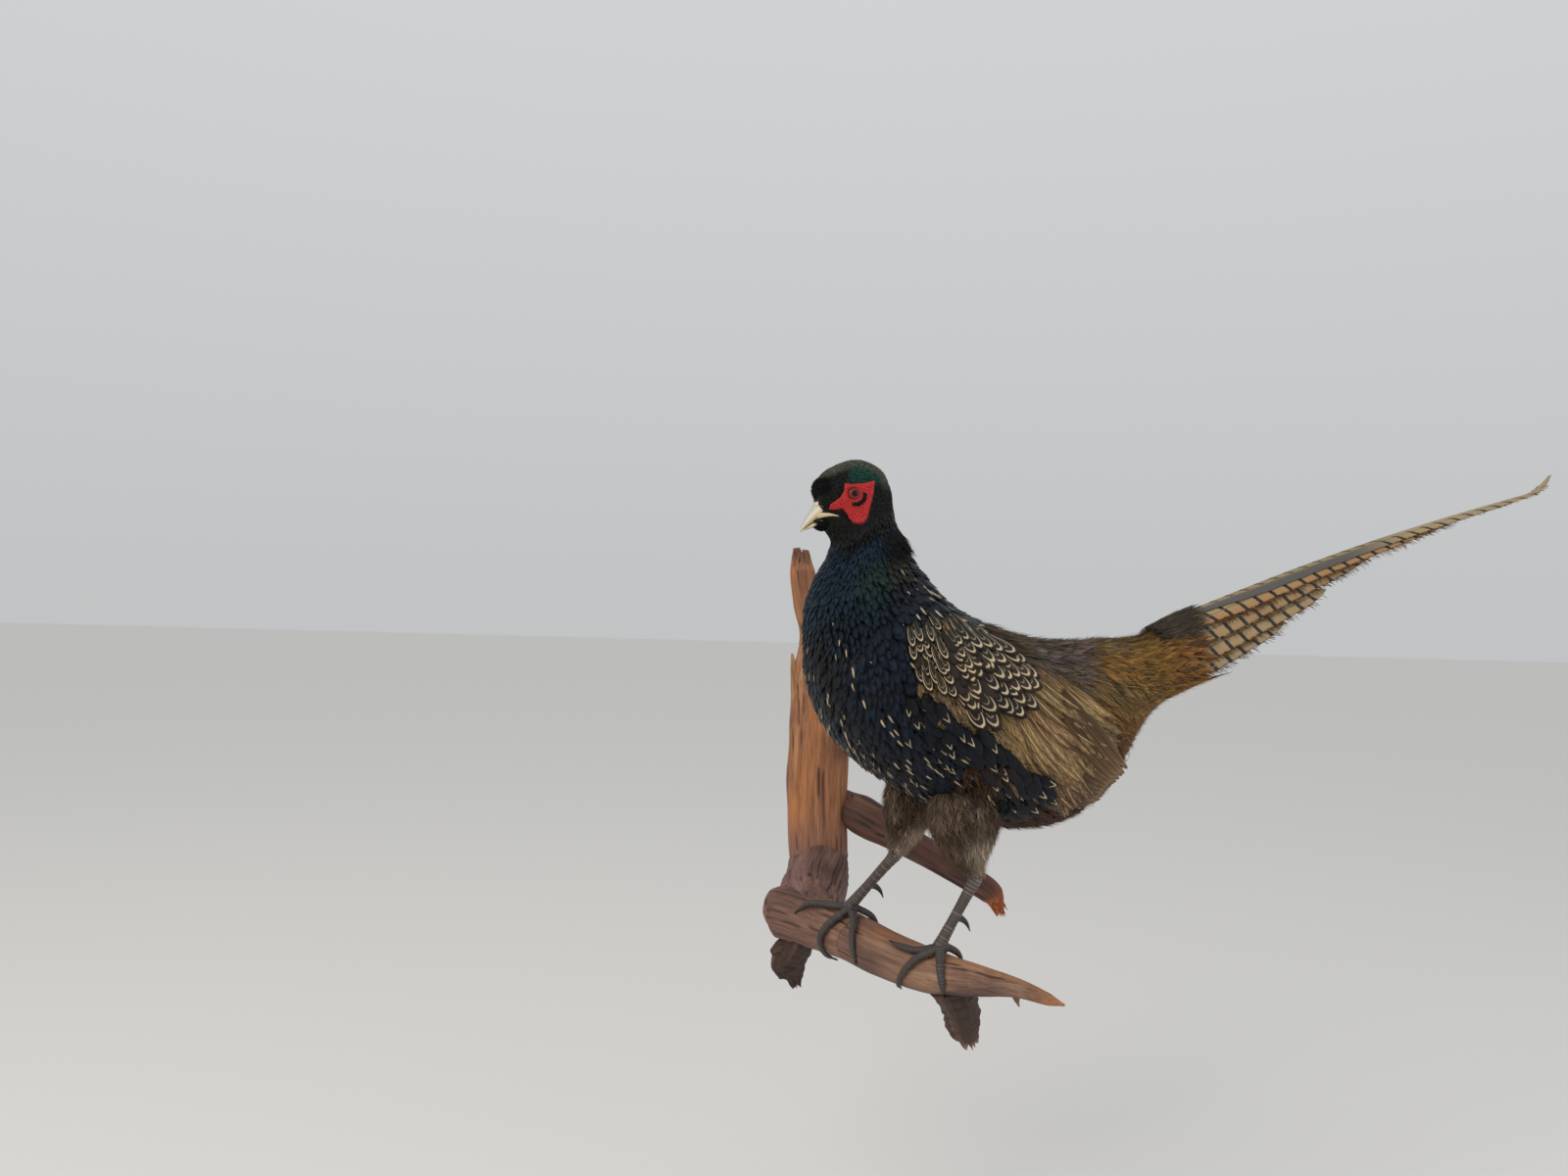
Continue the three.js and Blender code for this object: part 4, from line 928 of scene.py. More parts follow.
def makeBill():  # both halves, the nostril lumps and the corners of the mouth
    horn, tree, shader = newMaterial("bill_horn", {  # ivory horn, greyer on the ridge, yellow at the edge
        "Roughness": 0.32, "Subsurface Weight": 0.1, "Subsurface Scale": 0.003})
    place = addNode(tree, "Attribute", attribute_name="ridge").outputs["Fac"]
    shade = addNode(tree, "ValToRGB", {0: place}, stops=[
        (0.0, rgba("#b7a36c")), (0.3, rgba("#c9b98a")), (0.65, rgba("#d3ccb6")), (0.9, rgba("#bdbdb6")),
        (1.0, rgba("#a9a9a2"))])
    mottle = addNode(tree, "TexNoise", {"Scale": 350.0, "Detail": 3.0})
    worn = addNode(tree, "Mix", {0: 0.35, 6: shade.outputs[0], 7: mottle.outputs["Color"]},
                   data_type="RGBA", blend_type="SOFT_LIGHT")
    tree.links.new(worn.outputs[2], shader.inputs["Base Color"])
    grain = addNode(tree, "Bump", {"Strength": 0.15, "Distance": 0.0003, "Height": mottle.outputs["Fac"]})
    tree.links.new(grain.outputs[0], shader.inputs["Normal"])
    parts, ridge = [], []
    for table, sharp, rows in ((upperBill, 0.28, 44), (lowerBill, 0.1, 30)):
        row = np.linspace(-0.6, len(table) - 1, rows)
        ahead, up, lowAhead, lowUp, half = np.moveaxis(rowsAt(table, row), -1, 0)[..., None]
        turn = turns(28)
        cos, sin = np.cos(turn), np.sin(turn)
        flank = np.sign(sin) * np.abs(sin) ** (1 + sharp * (cos > 0) * cos)
        rings = onHead((ahead + lowAhead) / 2 + (ahead - lowAhead) / 2 * cos, half * flank,
                       (up + lowUp) / 2 + (up - lowUp) / 2 * cos)
        parts.append(closedTube(rings))
        ridge += [np.broadcast_to((cos + 1) / 2, rings.shape[:2]).ravel(), [0.5, 0.5]]
    for side in (1, -1):  # soft lump over each nostril
        axes = headAxes(side)[[1, 2, 0]]
        ahead, out, up = billSizes["nostril"]
        rings, _ = polarRings(onHead(ahead, side * out, up), np.array(billSizes["nostrilRadii"]) * mm, axes,
                              rows=14, around=18)
        parts.append(closedTube(rings))
        ridge.append(np.full(len(parts[-1][0]), 0.5))
    bill = newMesh("bill", *joinParts(parts), [horn])
    setAttribute(bill, "ridge", "FLOAT", np.concatenate(ridge))
    finish(bill, ("upper_bill", "lower_bill"))
    strips = []
    for side in (1, -1):  # corner of the mouth: a tapering roll along the cheek
        along = np.linspace(0, 1, 20)
        s, a = placeAt(neckPivot + mix(40.5, 27.4, along), 158.6 + 0.8 * np.sin(np.pi * along), side=side)
        here, out, _, _ = bodySurface(s, a)
        here = here + out * 0.4 * mm
        ahead = unit(np.gradient(here, axis=0))
        across = np.cross(out, ahead)
        turn = turns(12)
        wide = (mix(*billSizes["gape"], along) * mm)[:, None, None]
        oval = (np.cos(turn)[None, :, None] * across[:, None]
                + 0.55 * np.sin(turn)[None, :, None] * out[:, None])
        strips.append(closedTube(here[:, None] + wide * oval))
    gape = newMesh("gape", *joinParts(strips), [horn])
    setAttribute(gape, "ridge", "FLOAT", np.full(len(gape.data.vertices), 0.35))
    finish(gape, ("gape_left", "gape_right"))
    print("bill done")


makeBill()

scapularLook = plumage("brown_scapular_feathers", dict(  # dark brown with cream loops inside the edge
    barbs=60.0, line=dict(colour="#c9b491", rings=[(0.84, 0.085, 1.0), (0.5, 0.05, 0.4)]),
    shader={"Roughness": 0.55, "Specular IOR Level": 0.25}))
covertLook = plumage("tan_wing_coverts", dict(  # loose golden-brown vanes with dark and pale streaks
    barbs=34.0, barbDepth=0.26, shaft=dict(wide=0.09, start=0.12, colour="#c9ab77"),
    shader={"Roughness": 0.6, "Specular IOR Level": 0.25}))
softVanes = [vaneShape(4, 6, 0.3, 0.2, tip=0.45, root=0.5) for _ in range(6)]
scapularSizes = dict(length=22, half=6.2, shrink=0.36, light="#3a2a1a", dark="#1d1510", green="#12190f",
                     rows=(((4.2, 8.6), 9.6, 9.8), ((7.4, 11.0), 7.0, 6.6)))  # ribs, gap along, gap across


def scapulars():  # broad round shoulder feathers, smaller and greener to the front
    parts = []
    for reach, spacing, wide in scapularSizes["rows"]:
        roots = bodyRoots(reach, int(480 / wide), spacing * mm, wide * mm, 0.08)
        tip = insideBy(scapularOutline, roots["forward"] - 14, roots["up"] - 10)
        around = np.degrees(np.abs(roots["a"]))
        part = roots["forward"] > 80 if wide < 8 else roots["forward"] < 88
        keep = (tip + 2 * roots["patchy"] > -2) & (around > 28) & (around < 112)
        parts.append(pick(roots, keep & part & (roots["forward"] < 116)))
    roots = {key: np.concatenate([part[key] for part in parts]) for key in parts[0]}
    n = len(roots["s"])
    small = ease(76, 96, roots["forward"]) * scapularSizes["shrink"]
    tint = mix(varied(scapularSizes["dark"], n, 0.3), varied(scapularSizes["light"], n, 0.3),
               rng.random((n, 1)))
    tint = mix(tint, varied(scapularSizes["green"], n, 0.3), (0.8 * ease(66, 82, roots["up"]))[:, None])
    whole = (rng.random(n) > 0.08) * (0.75 + 0.25 * rng.random(n))
    coat("scapular_feathers", roots | dict(
        length=(scapularSizes["length"] + 1.2 * bell(n)) * mm * (1 - small),
        half=(scapularSizes["half"] + 0.5 * rng.random(n)) * mm * (1 - small),
        base=roots["rise0"] - 0.4 * mm, rise=0.15 + 0.03 * rng.random(n),
        lie=0.5 + 0.16 * bell(n), camber=0.22, tint=tint, tipTint=tint * 0.9,
        marks=np.stack([whole, 0 * whole, 0 * whole], -1)), loopVanes, scapularLook, "brown_plumage")


covertSizes = dict(longest=38, shortest=20, half=4.8, barbsEach=5, upper="#856742", lower="#644a34",
                   fluff="#93795a", tip="#a58a5c", darkBarb="#3a2a1d", paleBarb="#b79d72",
                   tanBarb="#86683f", lowBarb="#4f3826")


def wingCoverts():  # long loose vanes hanging over the folded wing, with stray barbs
    roots = bodyRoots((3.4, 9.6), 60, 8.0 * mm, 6.6 * mm, 0.28)
    place = depthIn(wingOutline, roots)
    dark = depthIn(darkOutline, roots)
    loops = depthIn(scapularOutline, roots)
    rear = -roots["forward"] - 0.5 * roots["up"]
    keep = (place > 1) & (dark < 3) & (loops < 8) & (np.abs(roots["a"]) > 0.5)
    keep &= rear - 6 * roots["patchy"] < 66
    keep &= (roots["up"] - 0.25 * roots["forward"] < 14) | (roots["forward"] < 46)
    roots = pick(roots, keep)
    rear = ease(20, 66, rear[keep])
    n = len(roots["s"])
    low = ease(10, -45, roots["up"] + 0.25 * roots["forward"])
    fluff = ease(50, 62, roots["forward"])  # pale fluffy patch by the shoulder
    tint = mix(varied(covertSizes["upper"], n, 0.4), varied(covertSizes["lower"], n, 0.35), low[:, None])
    tint = mix(tint, varied(covertSizes["fluff"], n, 0.25), 0.8 * fluff[:, None])
    tip = mix(tint, varied(covertSizes["tip"], n, 0.3), (0.7 * rng.random(n) * (1 - low))[:, None])
    long = mix(covertSizes["longest"], covertSizes["shortest"], np.maximum(fluff, rear))
    coat("wing_coverts", roots | dict(
        length=long * mm * (1 + 0.1 * bell(n)),
        half=(covertSizes["half"] + 1.2 * rng.random(n)) * mm,
        base=roots["rise0"] - 1.6 * mm, rise=0.075 + 0.03 * rng.random(n),
        lie=0.64 + 0.1 * bell(n), camber=0.2, tint=tint, tipTint=tip,
        marks=np.stack([0 * low, 0.9 * (rng.random(n) < 0.55), 0 * low], -1)),
        covertVanes, covertLook, "brown_plumage", ("wing_left", "wing_right"))
    many = np.repeat(np.arange(n), covertSizes["barbsEach"])
    rows = len(many)
    s = roots["s"][many] - 0.1 + 0.12 * bell(rows)
    a = roots["a"][many] + 0.05 * bell(rows)
    luck = rng.random((rows, 1))
    dark, pale = varied(covertSizes["darkBarb"], rows), varied(covertSizes["paleBarb"], rows)
    tint = np.where(luck < 0.35, dark, np.where(luck < 0.5, pale, varied(covertSizes["tanBarb"], rows, 0.35)))
    barbCoat("wing_barbs", dict(
        s=s, a=a, uv=bodyMap(s, a), length=mix(10, 24 - 8 * rear[many], rng.random(rows)) * mm,
        half=0.2 * mm, base=roots["rise0"][many] + (rng.random(rows) - 0.5) * mm,
        rise=0.08 + 0.05 * rng.random(rows), lie=0.64 + 0.14 * bell(rows),
        bend=0.08 * bell(rows), rootShade=0.9,
        tint=mix(tint, varied(covertSizes["lowBarb"], rows), 0.5 * low[many][:, None])), "brown_plumage")


quillLook = plumage("brown_flight_feathers", dict(  # firm brown vanes with a pale edge and dark shaft
    barbs=150.0, line=dict(colour="#8d7652", rings=[(0.93, 0.09, 1.0)]),
    shaft=dict(wide=0.09, start=0.0, colour="#2c2119"),
    shader={"Roughness": 0.6, "Specular IOR Level": 0.2}))
# Roots and tips (forward, up) of the lowest and the highest quill, in mm.
flightQuills = dict(rootFrom=(-2, -42), rootTo=(-16, 30), tipFrom=(-70, -55), tipTo=(-92, -36),
                    count=12, half=6.6, colour="#5e4428", tip="#775a38")


def flightFeathers():  # folded flight feathers making the wing's point
    share = np.linspace(0, 1, flightQuills["count"])
    roots = []
    start = mix(np.array(flightQuills["rootFrom"]), np.array(flightQuills["rootTo"]), share[:, None])
    end = mix(np.array(flightQuills["tipFrom"]), np.array(flightQuills["tipTo"]), share[:, None] ** 1.2)
    end += 2.5 * np.sin(5 * share)[:, None]
    for side in (1, -1):
        s, a = placeAt(start[:, 0], start[:, 1], reach=(2, 8), side=side)
        reach = start - end
        roots.append(np.stack([s, a, np.hypot(*reach.T) * mm, np.arctan2(reach[:, 1], reach[:, 0]),
                               (3.6 + share * 3.4) * mm], -1))
    s, a, length, lie, base = np.concatenate(roots).T
    n = len(s)
    coat("flight_feathers", dict(
        s=s, a=a, uv=bodyMap(s, a), length=length, half=flightQuills["half"] * mm, base=base, rise=0.01,
        lie=lie, camber=0.16, tint=varied(flightQuills["colour"], n, 0.25),
        tipTint=varied(flightQuills["tip"], n, 0.25), rootShade=0.9,
        marks=np.stack([np.full(n, 0.8), np.ones(n), np.zeros(n)], -1)),
        [vaneShape(14, 12, 0.02, 0.1, tip=0.34, root=0.7, widest=0.5) for _ in range(4)],
        quillLook, "brown_plumage")


def looseCoat(name, roots, length, half, lie, tint, rise=0.12, perRoot=6):
    # soft vanes with long loose barbs over them; length and half in mm
    n = len(roots["s"])
    length, half, base = length * mm, half * mm, roots["rise0"] - 2.4 * mm
    coat(name + "_vanes", roots | dict(
        length=length * (1 + 0.15 * bell(n)), half=half, base=base,
        rise=rise * 0.8 + 0.04 * rng.random(n), lie=lie + 0.18 * bell(n), camber=0.2,
        tint=tint * 0.85, tipTint=tint), softVanes, covertLook, "brown_plumage")
    many = np.repeat(np.arange(n), perRoot)
    rows = len(many)
    drift = 5 * mm
    _, _, alongS, alongA = bodySurface(roots["s"], roots["a"])
    s = roots["s"][many] + drift * bell(rows) / np.linalg.norm(alongS, axis=1)[many]
    a = roots["a"][many] + drift * bell(rows) / np.linalg.norm(alongA, axis=1)[many]
    luck = rng.random((rows, 1))
    colour = tint[many] * (0.7 + 0.9 * luck ** 2)
    colour = np.where(luck < 0.16, colour * 0.4, colour)
    barbCoat(name + "_barbs", dict(
        s=s, a=a, uv=bodyMap(s, a), length=length[many] * mix(0.6, 1.15, rng.random(rows)),
        half=0.24 * mm, base=base[many] + 0.8 * mm, rise=rise + 0.14 * rng.random(rows) ** 2,
        lie=lie[many] + 0.28 * bell(rows), bend=0.14 * bell(rows),
        tint=colour, tipTint=colour * 1.25, rootShade=0.8), "brown_plumage")


rumpColours = dict(grey="#75635f", olive="#6f5f3d", green="#1f2b15", brown="#3d2c20", straw="#8a7048",
                   gold="#a67c3c", rust="#93531f", moss="#57492f", streak="#4a3826")


def rumpCoat():  # grey and spotted on the ridge, golden to rusty on the sides
    roots = bodyRoots((-0.1, 7.2), 56, 5.4 * mm, 5.2 * mm, 0.35)
    back = depthIn(backOutline, roots) + 12 * roots["patchy"]
    gold = depthIn(goldOutline, roots) + 12 * roots["patchy"]
    dark = depthIn(darkOutline, roots)
    wing = depthIn(wingOutline, roots)
    upper = pick(roots, (back > -2) & (gold < 2) & (dark < 6) & (wing < 4))
    n = len(upper["s"])
    ridge = ease(60, 25, np.degrees(np.abs(upper["a"])))
    spotted = (upper["fine"] > 0.15) * (0.4 + 0.6 * ridge)
    tint = mix(varied(rumpColours["grey"], n, 0.4), varied(rumpColours["olive"], n, 0.35),
               ease(-0.3, 0.5, upper["patchy"])[:, None])
    tint = mix(tint, varied(rumpColours["green"], n, 0.3), (0.8 * spotted)[:, None])
    tint = mix(tint, varied(rumpColours["brown"], n, 0.3), (0.6 * ease(-5, 20, upper["forward"]))[:, None])
    looseCoat("rump", upper, np.full(n, 21), 3.6, 0.15 + 0.35 * (1 - ridge), tint, rise=0.14)
    lower = pick(roots, ((gold >= 2) | (back <= -2)) & (gold > -14) & (back < 18) & (wing < 2))
    n = len(lower["s"])
    rear = ease(-80, -150, lower["forward"] + 0.6 * (60 - lower["up"]))
    tint = mix(varied(rumpColours["straw"], n, 0.4), varied(rumpColours["gold"], n, 0.3),
               ease(-0.5, 0.5, lower["patchy"] + rear)[:, None])
    rust = ease(30, -20, lower["up"]) * 0.75 + 0.5 * ease(-150, -190, lower["forward"])
    tint = mix(tint, varied(rumpColours["rust"], n, 0.25), rust.clip(0, 1)[:, None])
    tint = mix(tint, varied(rumpColours["moss"], n, 0.35), ease(55, 78, lower["up"])[:, None] * 0.9)
    tint = mix(tint, varied(rumpColours["streak"], n, 0.3), (0.8 * (lower["fine"] > 0.3))[:, None])
    looseCoat("rump_side", lower, 26 * mix(1, 0.8, rear), 3.4, mix(0.85, 0.4, rear), tint, rise=0.11)


def bellyCoat():  # rusty brown from behind the legs back
    roots = bodyRoots((-0.3, 8.6), 56, 6.0 * mm, 5.6 * mm, 0.35)
    around = np.degrees(np.abs(roots["a"]))
    dark = depthIn(darkOutline, roots)
    gold = depthIn(goldOutline, roots)
    wing = depthIn(wingOutline, roots)
    back = depthIn(backOutline, roots)
    roots = pick(roots, (dark < 2) & (gold < 3) & (wing < 3) & (back < 0) & (around > 85))
    n = len(roots["s"])
    rear = ease(-20, -90, roots["forward"])
    tint = mix(varied("#4a2f1e", n, 0.35), varied("#573416", n, 0.3), rear[:, None])
    looseCoat("belly", roots, np.full(n, 20), 3.6, np.full(n, 0.35), tint, rise=0.16)


# Each kind's count, shapes and look, half width and length at the hip and lift, in mm.
thighKinds = dict(
    tufts=dict(count=760, shapes=softVanes, look=covertLook, half=2.7, length=15.0, lift=-1.2),
    down=dict(count=4200, shapes=barbs, look=hair, half=0.27, length=17.0, lift=-0.4))
thighColours = dict(dark="#54402f", light="#7d6a58", cream="#c4b09a")


def thighSurface(leg):  # one thigh's surface: s from -1 at the hock to 0 inside the flank
    return lambda s, a: surfaceWithNormal(lambda p, q: thighPoint(leg, -p, q, -3 * mm), s, a, 0.01, 0.01)


def thighCoat():  # soft loose down, paler in patches, standing off the leg
    for name, leg in legs.items():
        for kind, size in thighKinds.items():
            n = size["count"]
            s, a = -rng.uniform(0.1, 1.0, n) ** 0.9, rng.uniform(-np.pi, np.pi, n)
            here = thighPoint(leg, -s, a)
            streak = lumps(np.stack([s * 4, a * 4, 0 * a], -1), 9)
            outward = unit(here - thighPoint(leg, -s, a + np.pi))
            tuft = ease(-0.4, -0.5, s) * ease(-0.92, -0.8, s) * ease(0.3, 0.85, outward @ [0.75, -0.65, 0])
            pale = ease(-0.4, 0.3, lumps(here / (22 * mm), 5)) * ease(-0.4, -0.62, s) * 0.4 + 1.4 * tuft
            tint = mix(varied(thighColours["dark"], n, 0.35), varied(thighColours["light"], n, 0.3),
                       ease(-0.4, 0.6, streak)[:, None])
            tint = mix(tint, varied(thighColours["cream"], n, 0.2),
                       (pale.clip(0, 0.95) * rng.random(n) ** 0.3)[:, None])
            low = ease(-0.72, -1, s)
            coat("thigh_" + kind + "_" + name, dict(
                s=s, a=a, uv=np.stack([0.5 + a / 7, -s], -1),
                length=mix(size["length"], 6, low) * mm * (0.6 + 0.6 * rng.random(n)),
                half=mix(size["half"], size["half"] * 0.55, low) * mm, base=size["lift"] * mm,
                rise=mix(0.22, 0.08, low) * (0.4 + 1.3 * rng.random(n)), lie=0.08 + 0.35 * bell(n),
                bend=0.2 * bell(n), camber=0.1, tint=tint * 0.9, tipTint=tint * 1.25,
                rootShade=0.8), size["shapes"], size["look"], "thigh_down",
                ("thigh_" + name,) if kind == "down" else (), thighSurface(leg))


scapulars()
wingCoverts()
flightFeathers()
flankFeathers()
rumpCoat()
bellyCoat()
thighCoat()

tailSizes = dict(length=424, yaw=np.radians(11.3), pitch=np.radians(18.5), bow=7, curl=12,
                 roofRadius=18, roofSlope=np.radians(75), layer=1.4, thick=0.5, barPitch=15.5, fringe=8.5,
                 coverts=220)
tailColours = dict(tan="#a5926a", grey="#54504c", rust="#a8743a", edge="#4b3425", upper="#94804f",
                   bar="#15100d", shaft="#6d5a3c", fringeDark="#5a3f2b", fringeLight="#8d6438",
                   covert="#433a33", covertTip="#5c5043", covertBarb="#544a3f")
tailWarmth = [0.15, 0.7, 0.6, 0.5, 0.4, 0.3, 0.2, 0.1, 0.1]  # how rusty each feather's lower side is
# One side's feathers from the ridge down: share of the tail's length, slope distance from
# the ridge at root and tip, half width, in mm.
tailFeathers = np.array([
    [1.0, 9.4, 7.2, 8.6], [0.72, 17, 9, 10.5], [0.56, 17, 9, 9.5], [0.49, 30, 17, 12], [0.42, 29, 21, 10],
    [0.36, 43, 33, 12], [0.3, 42, 37, 10], [0.245, 54, 46, 11], [0.19, 53, 48, 9]])
tailRoot = toMountTurned(ribs[0, 0], 0.0, ribs[0, 1] + 1, ribs[0, 5], birdPlace["rumpPivot"]) / mm


def tailPoint(along, slope, depth=0.0):  # mm along the tail, down the roof (left positive), under it
    side, slope = np.where(slope < 0, -1.0, 1.0), np.abs(slope)
    turnAt = tailSizes["roofSlope"] * tailSizes["roofRadius"]
    angle = np.minimum(slope / tailSizes["roofRadius"], tailSizes["roofSlope"])
    straight = np.maximum(slope - turnAt, 0)
    out = (tailSizes["roofRadius"] - depth) * np.sin(angle) + straight * np.cos(angle)
    drop = tailSizes["roofRadius"] * (1 - np.cos(angle)) + straight * np.sin(angle) + depth * np.cos(angle)
    share = along / tailSizes["length"]
    lift = (tailSizes["bow"] * np.sin(np.pi * np.minimum(share, 1))
            + tailSizes["curl"] * np.maximum((share - 0.93) / 0.07, 0) ** 2 - drop)
    ahead = along * np.cos(tailSizes["pitch"]) - lift * np.sin(tailSizes["pitch"])
    up = along * np.sin(tailSizes["pitch"]) + lift * np.cos(tailSizes["pitch"])
    yaw = tailSizes["yaw"]
    return mm * np.stack([tailRoot[0] + ahead * np.cos(yaw) + side * out * np.sin(yaw),
                          tailRoot[1] + ahead * np.sin(yaw) - side * out * np.cos(yaw),
                          tailRoot[2] + up], -1)


def tailSurface(s, a):  # s: metres ahead of the tail root, a: metres down the roof
    return surfaceWithNormal(lambda p, q: tailPoint(-p / mm, q / mm), s, a, 0.0005, 0.0005)


def tailMaterial():  # firm vanes, black bars, fine barbs
    material, tree, shader = newMaterial("barred_tail_feathers", {"Roughness": 0.5})
    tint, along, v, marks = featherInputs(tree)
    away = addNode(tree, "Math", {0: v}, operation="ABSOLUTE").outputs[0]
    slant = addNode(tree, "Math", {0: away, 1: -0.006, 2: along}, operation="MULTIPLY_ADD").outputs[0]
    wobble = addNode(tree, "TexNoise", {"Scale": 160.0, "Detail": 2.0}).outputs["Fac"]
    fine = addNode(tree, "Math", {0: slant, 1: 6500.0, 2: wobble}, operation="MULTIPLY_ADD").outputs[0]
    stripe = addNode(tree, "Math", {0: fine}, operation="SINE").outputs[0]
    shade = addNode(tree, "MapRange", {"Value": stripe, "From Min": -1.0, "To Min": 0.8, "To Max": 1.1})
    colour = addNode(tree, "VectorMath", {0: tint, "Scale": shade.outputs[0]}, operation="SCALE").outputs[0]
    # bars: one every pitch, leaning back down the feather, ragged at their edges
    lean = addNode(tree, "Math", {0: v, 1: -0.0045, 2: along}, operation="MULTIPLY_ADD").outputs[0]
    ragged = addNode(tree, "Math", {0: wobble, 1: 0.0022, 2: lean}, operation="MULTIPLY_ADD").outputs[0]
    perMetre = 1 / (tailSizes["barPitch"] * mm)
    phase = addNode(tree, "Math", {0: ragged, 1: perMetre}, operation="MULTIPLY").outputs[0]
    part = addNode(tree, "Math", {0: phase}, operation="FRACT").outputs[0]
    off = addNode(tree, "Math", {0: part, 1: 0.5}, operation="SUBTRACT").outputs[0]
    off = addNode(tree, "Math", {0: off}, operation="ABSOLUTE").outputs[0]
    bar = addNode(tree, "MapRange", {"Value": off, "From Min": 0.135, "From Max": 0.095, "To Max": 1.0})
    share = addNode(tree, "Math", {0: bar.outputs[0], 1: marks[0]}, operation="MULTIPLY").outputs[0]
    barred = addNode(tree, "Mix", {0: share, 6: colour, 7: rgba(tailColours["bar"])}, data_type="RGBA")
    quill = addNode(tree, "MapRange", {"Value": away, "From Min": 0.1, "From Max": 0.05, "To Max": 0.7})
    shaft = addNode(tree, "Mix", {0: quill.outputs[0], 6: barred.outputs[2], 7: rgba(tailColours["shaft"])},
                    data_type="RGBA").outputs[2]
    tree.links.new(shaft, shader.inputs["Base Color"])
    bump = addNode(tree, "Bump", {"Strength": 0.3, "Distance": 0.0002, "Height": stripe}).outputs[0]
    tree.links.new(bump, shader.inputs["Normal"])
    return material


def tailShape(order, t):  # half width and middle's slope of a tail feather, t 0 root to 1 tip
    _, rootSlope, tipSlope, half = tailFeathers[order]
    width = half * np.minimum(0.45 + 2.4 * t, 1) * (1 - 0.35 * t) * np.sqrt(1 - 0.985 * t**6)
    return width, mix(rootSlope, tipSlope, t) if order else width + 0.35


def tailTint(order, t, v):  # grey tip and olive ridge on the middle pair, rusty lower sides, dark edges
    grey = ease(0.62, 0.42, t) * (order == 0)
    core = mix(linear(tailColours["tan"]), linear(tailColours["grey"]), grey[..., None])
    warm = tailWarmth[order] * ease(-0.4, 0.7, v) * (1 - grey)
    core = mix(core, linear(tailColours["rust"]), warm[..., None])
    edge = ease(0.75, 1.0, v) * (0.25 if order == 0 else 0.45) * ease(0.1, 0.4, t)
    core = mix(core, linear(tailColours["edge"]), edge[..., None])
    upper = ease(-0.05, -0.3, v) * (order == 0) * grey
    return mix(core, linear(tailColours["upper"]), upper[..., None])


def tailBars(order, t, v):  # how strong the bars are: over the ridge, fading on the lower side and tip
    if order:
        strong = ease(-0.85, -0.6, v)
    else:
        strong = np.where(ease(0.62, 0.42, t) > 0.5, ease(-0.15, -0.35, v), ease(-0.5, -0.2, v))
    return strong * ease(1.0, 0.93, t)


def makeTail():  # nine pairs of long feathers laid as a roof, the first on the ridge
    parts = []
    stores = dict(tint=[], vane=[], marks=[], place=[])
    t, v = gridOf(np.linspace(0, 1, 88), np.linspace(-1, 1, 13))
    for order, share in enumerate(tailFeathers[:, 0]):
        for side in (1, -1):
            width, middle = tailShape(order, t)
            fray = lumps(np.stack([t * share * 60, np.sign(v) * 3, v * 0 + order], -1), side + 5)
            fray = 1 + 0.06 * fray * (np.abs(v) > 0.9)
            slope = np.maximum(middle + v * width * fray, 0.3)
            along = mix(0.4, tailSizes["length"] * share, t) * (1 - 0.01 * v * v * (t > 0.9))
            depth = order * tailSizes["layer"] + 0.25 * v * v
            top = tailPoint(along, side * slope, depth)
            low = tailPoint(along, side * slope, depth + tailSizes["thick"] * (1 - 0.6 * v * v) + 0.05)
            parts.append(closedTube(np.concatenate([top, low[:, ::-1]], 1)))
            for key, value in dict(
                    tint=tailTint(order, t, v),
                    vane=np.stack([along * mm + 0.0022 * order, v, v * 0], -1),
                    marks=np.stack([tailBars(order, t, v), 0 * v, 0 * v], -1),
                    place=np.stack([0.5 + side * slope / 140, along / 430], -1)).items():
                stores[key].append(capped(np.concatenate([value, value[:, ::-1]], 1)))
    tail = newMesh("tail_feathers", *joinParts(parts), [tailMaterial()])
    setAttribute(tail, "tint", "FLOAT_COLOR", np.concatenate(stores["tint"]))
    setAttribute(tail, "vane", "FLOAT_VECTOR", np.concatenate(stores["vane"]))
    setAttribute(tail, "marks", "FLOAT_VECTOR", np.concatenate(stores["marks"]))
    setMap(tail, "OFBake", np.concatenate(stores["place"]))
    finish(tail, [f"tail_feather_{i}_{side}" for i in range(1, 10)
                                  for side in ("left", "right")])
    print("tail_feathers done")


def tailFringe():  # loose barbs along the lower edges
    roots = []
    for order, share in enumerate(tailFeathers[:, 0]):
        n = int((360 if order < 3 else 230) * share) if order else 110
        t = rng.uniform(0.12 if order else 0.55, 0.97, n)
        width, middle = tailShape(order, t)
        slope = middle + width * rng.uniform(0.86, 1.0, n)
        roots.append(np.stack([-t * share * tailSizes["length"], slope, np.full(n, order), t], -1))
    along, slope, order, t = np.concatenate(roots * 2).T
    n = len(along)
    slope = slope * np.where(np.arange(n) < n // 2, 1, -1)
    barbCoat("tail_fringe", dict(
        s=along * mm, a=slope * mm, uv=np.stack([0.5 + slope / 140, -along / 430], -1),
        length=(tailSizes["fringe"] * mm * mix(1.1, 0.7, t) * (0.6 + 0.7 * rng.random(n))
                * np.where(order == 0, 0.55, 1)),
        half=0.3 * mm, base=-(order * tailSizes["layer"] + 0.1) * mm, rise=0.05 * bell(n),
        lie=0.55 + 0.2 * bell(n), bend=-0.2 + 0.15 * bell(n), rootShade=0.9,
        tint=mix(varied(tailColours["fringeDark"], n, 0.35), varied(tailColours["fringeLight"], n, 0.3),
                 rng.random((n, 1)) ** 2)), "tail_plumage", surface=tailSurface)


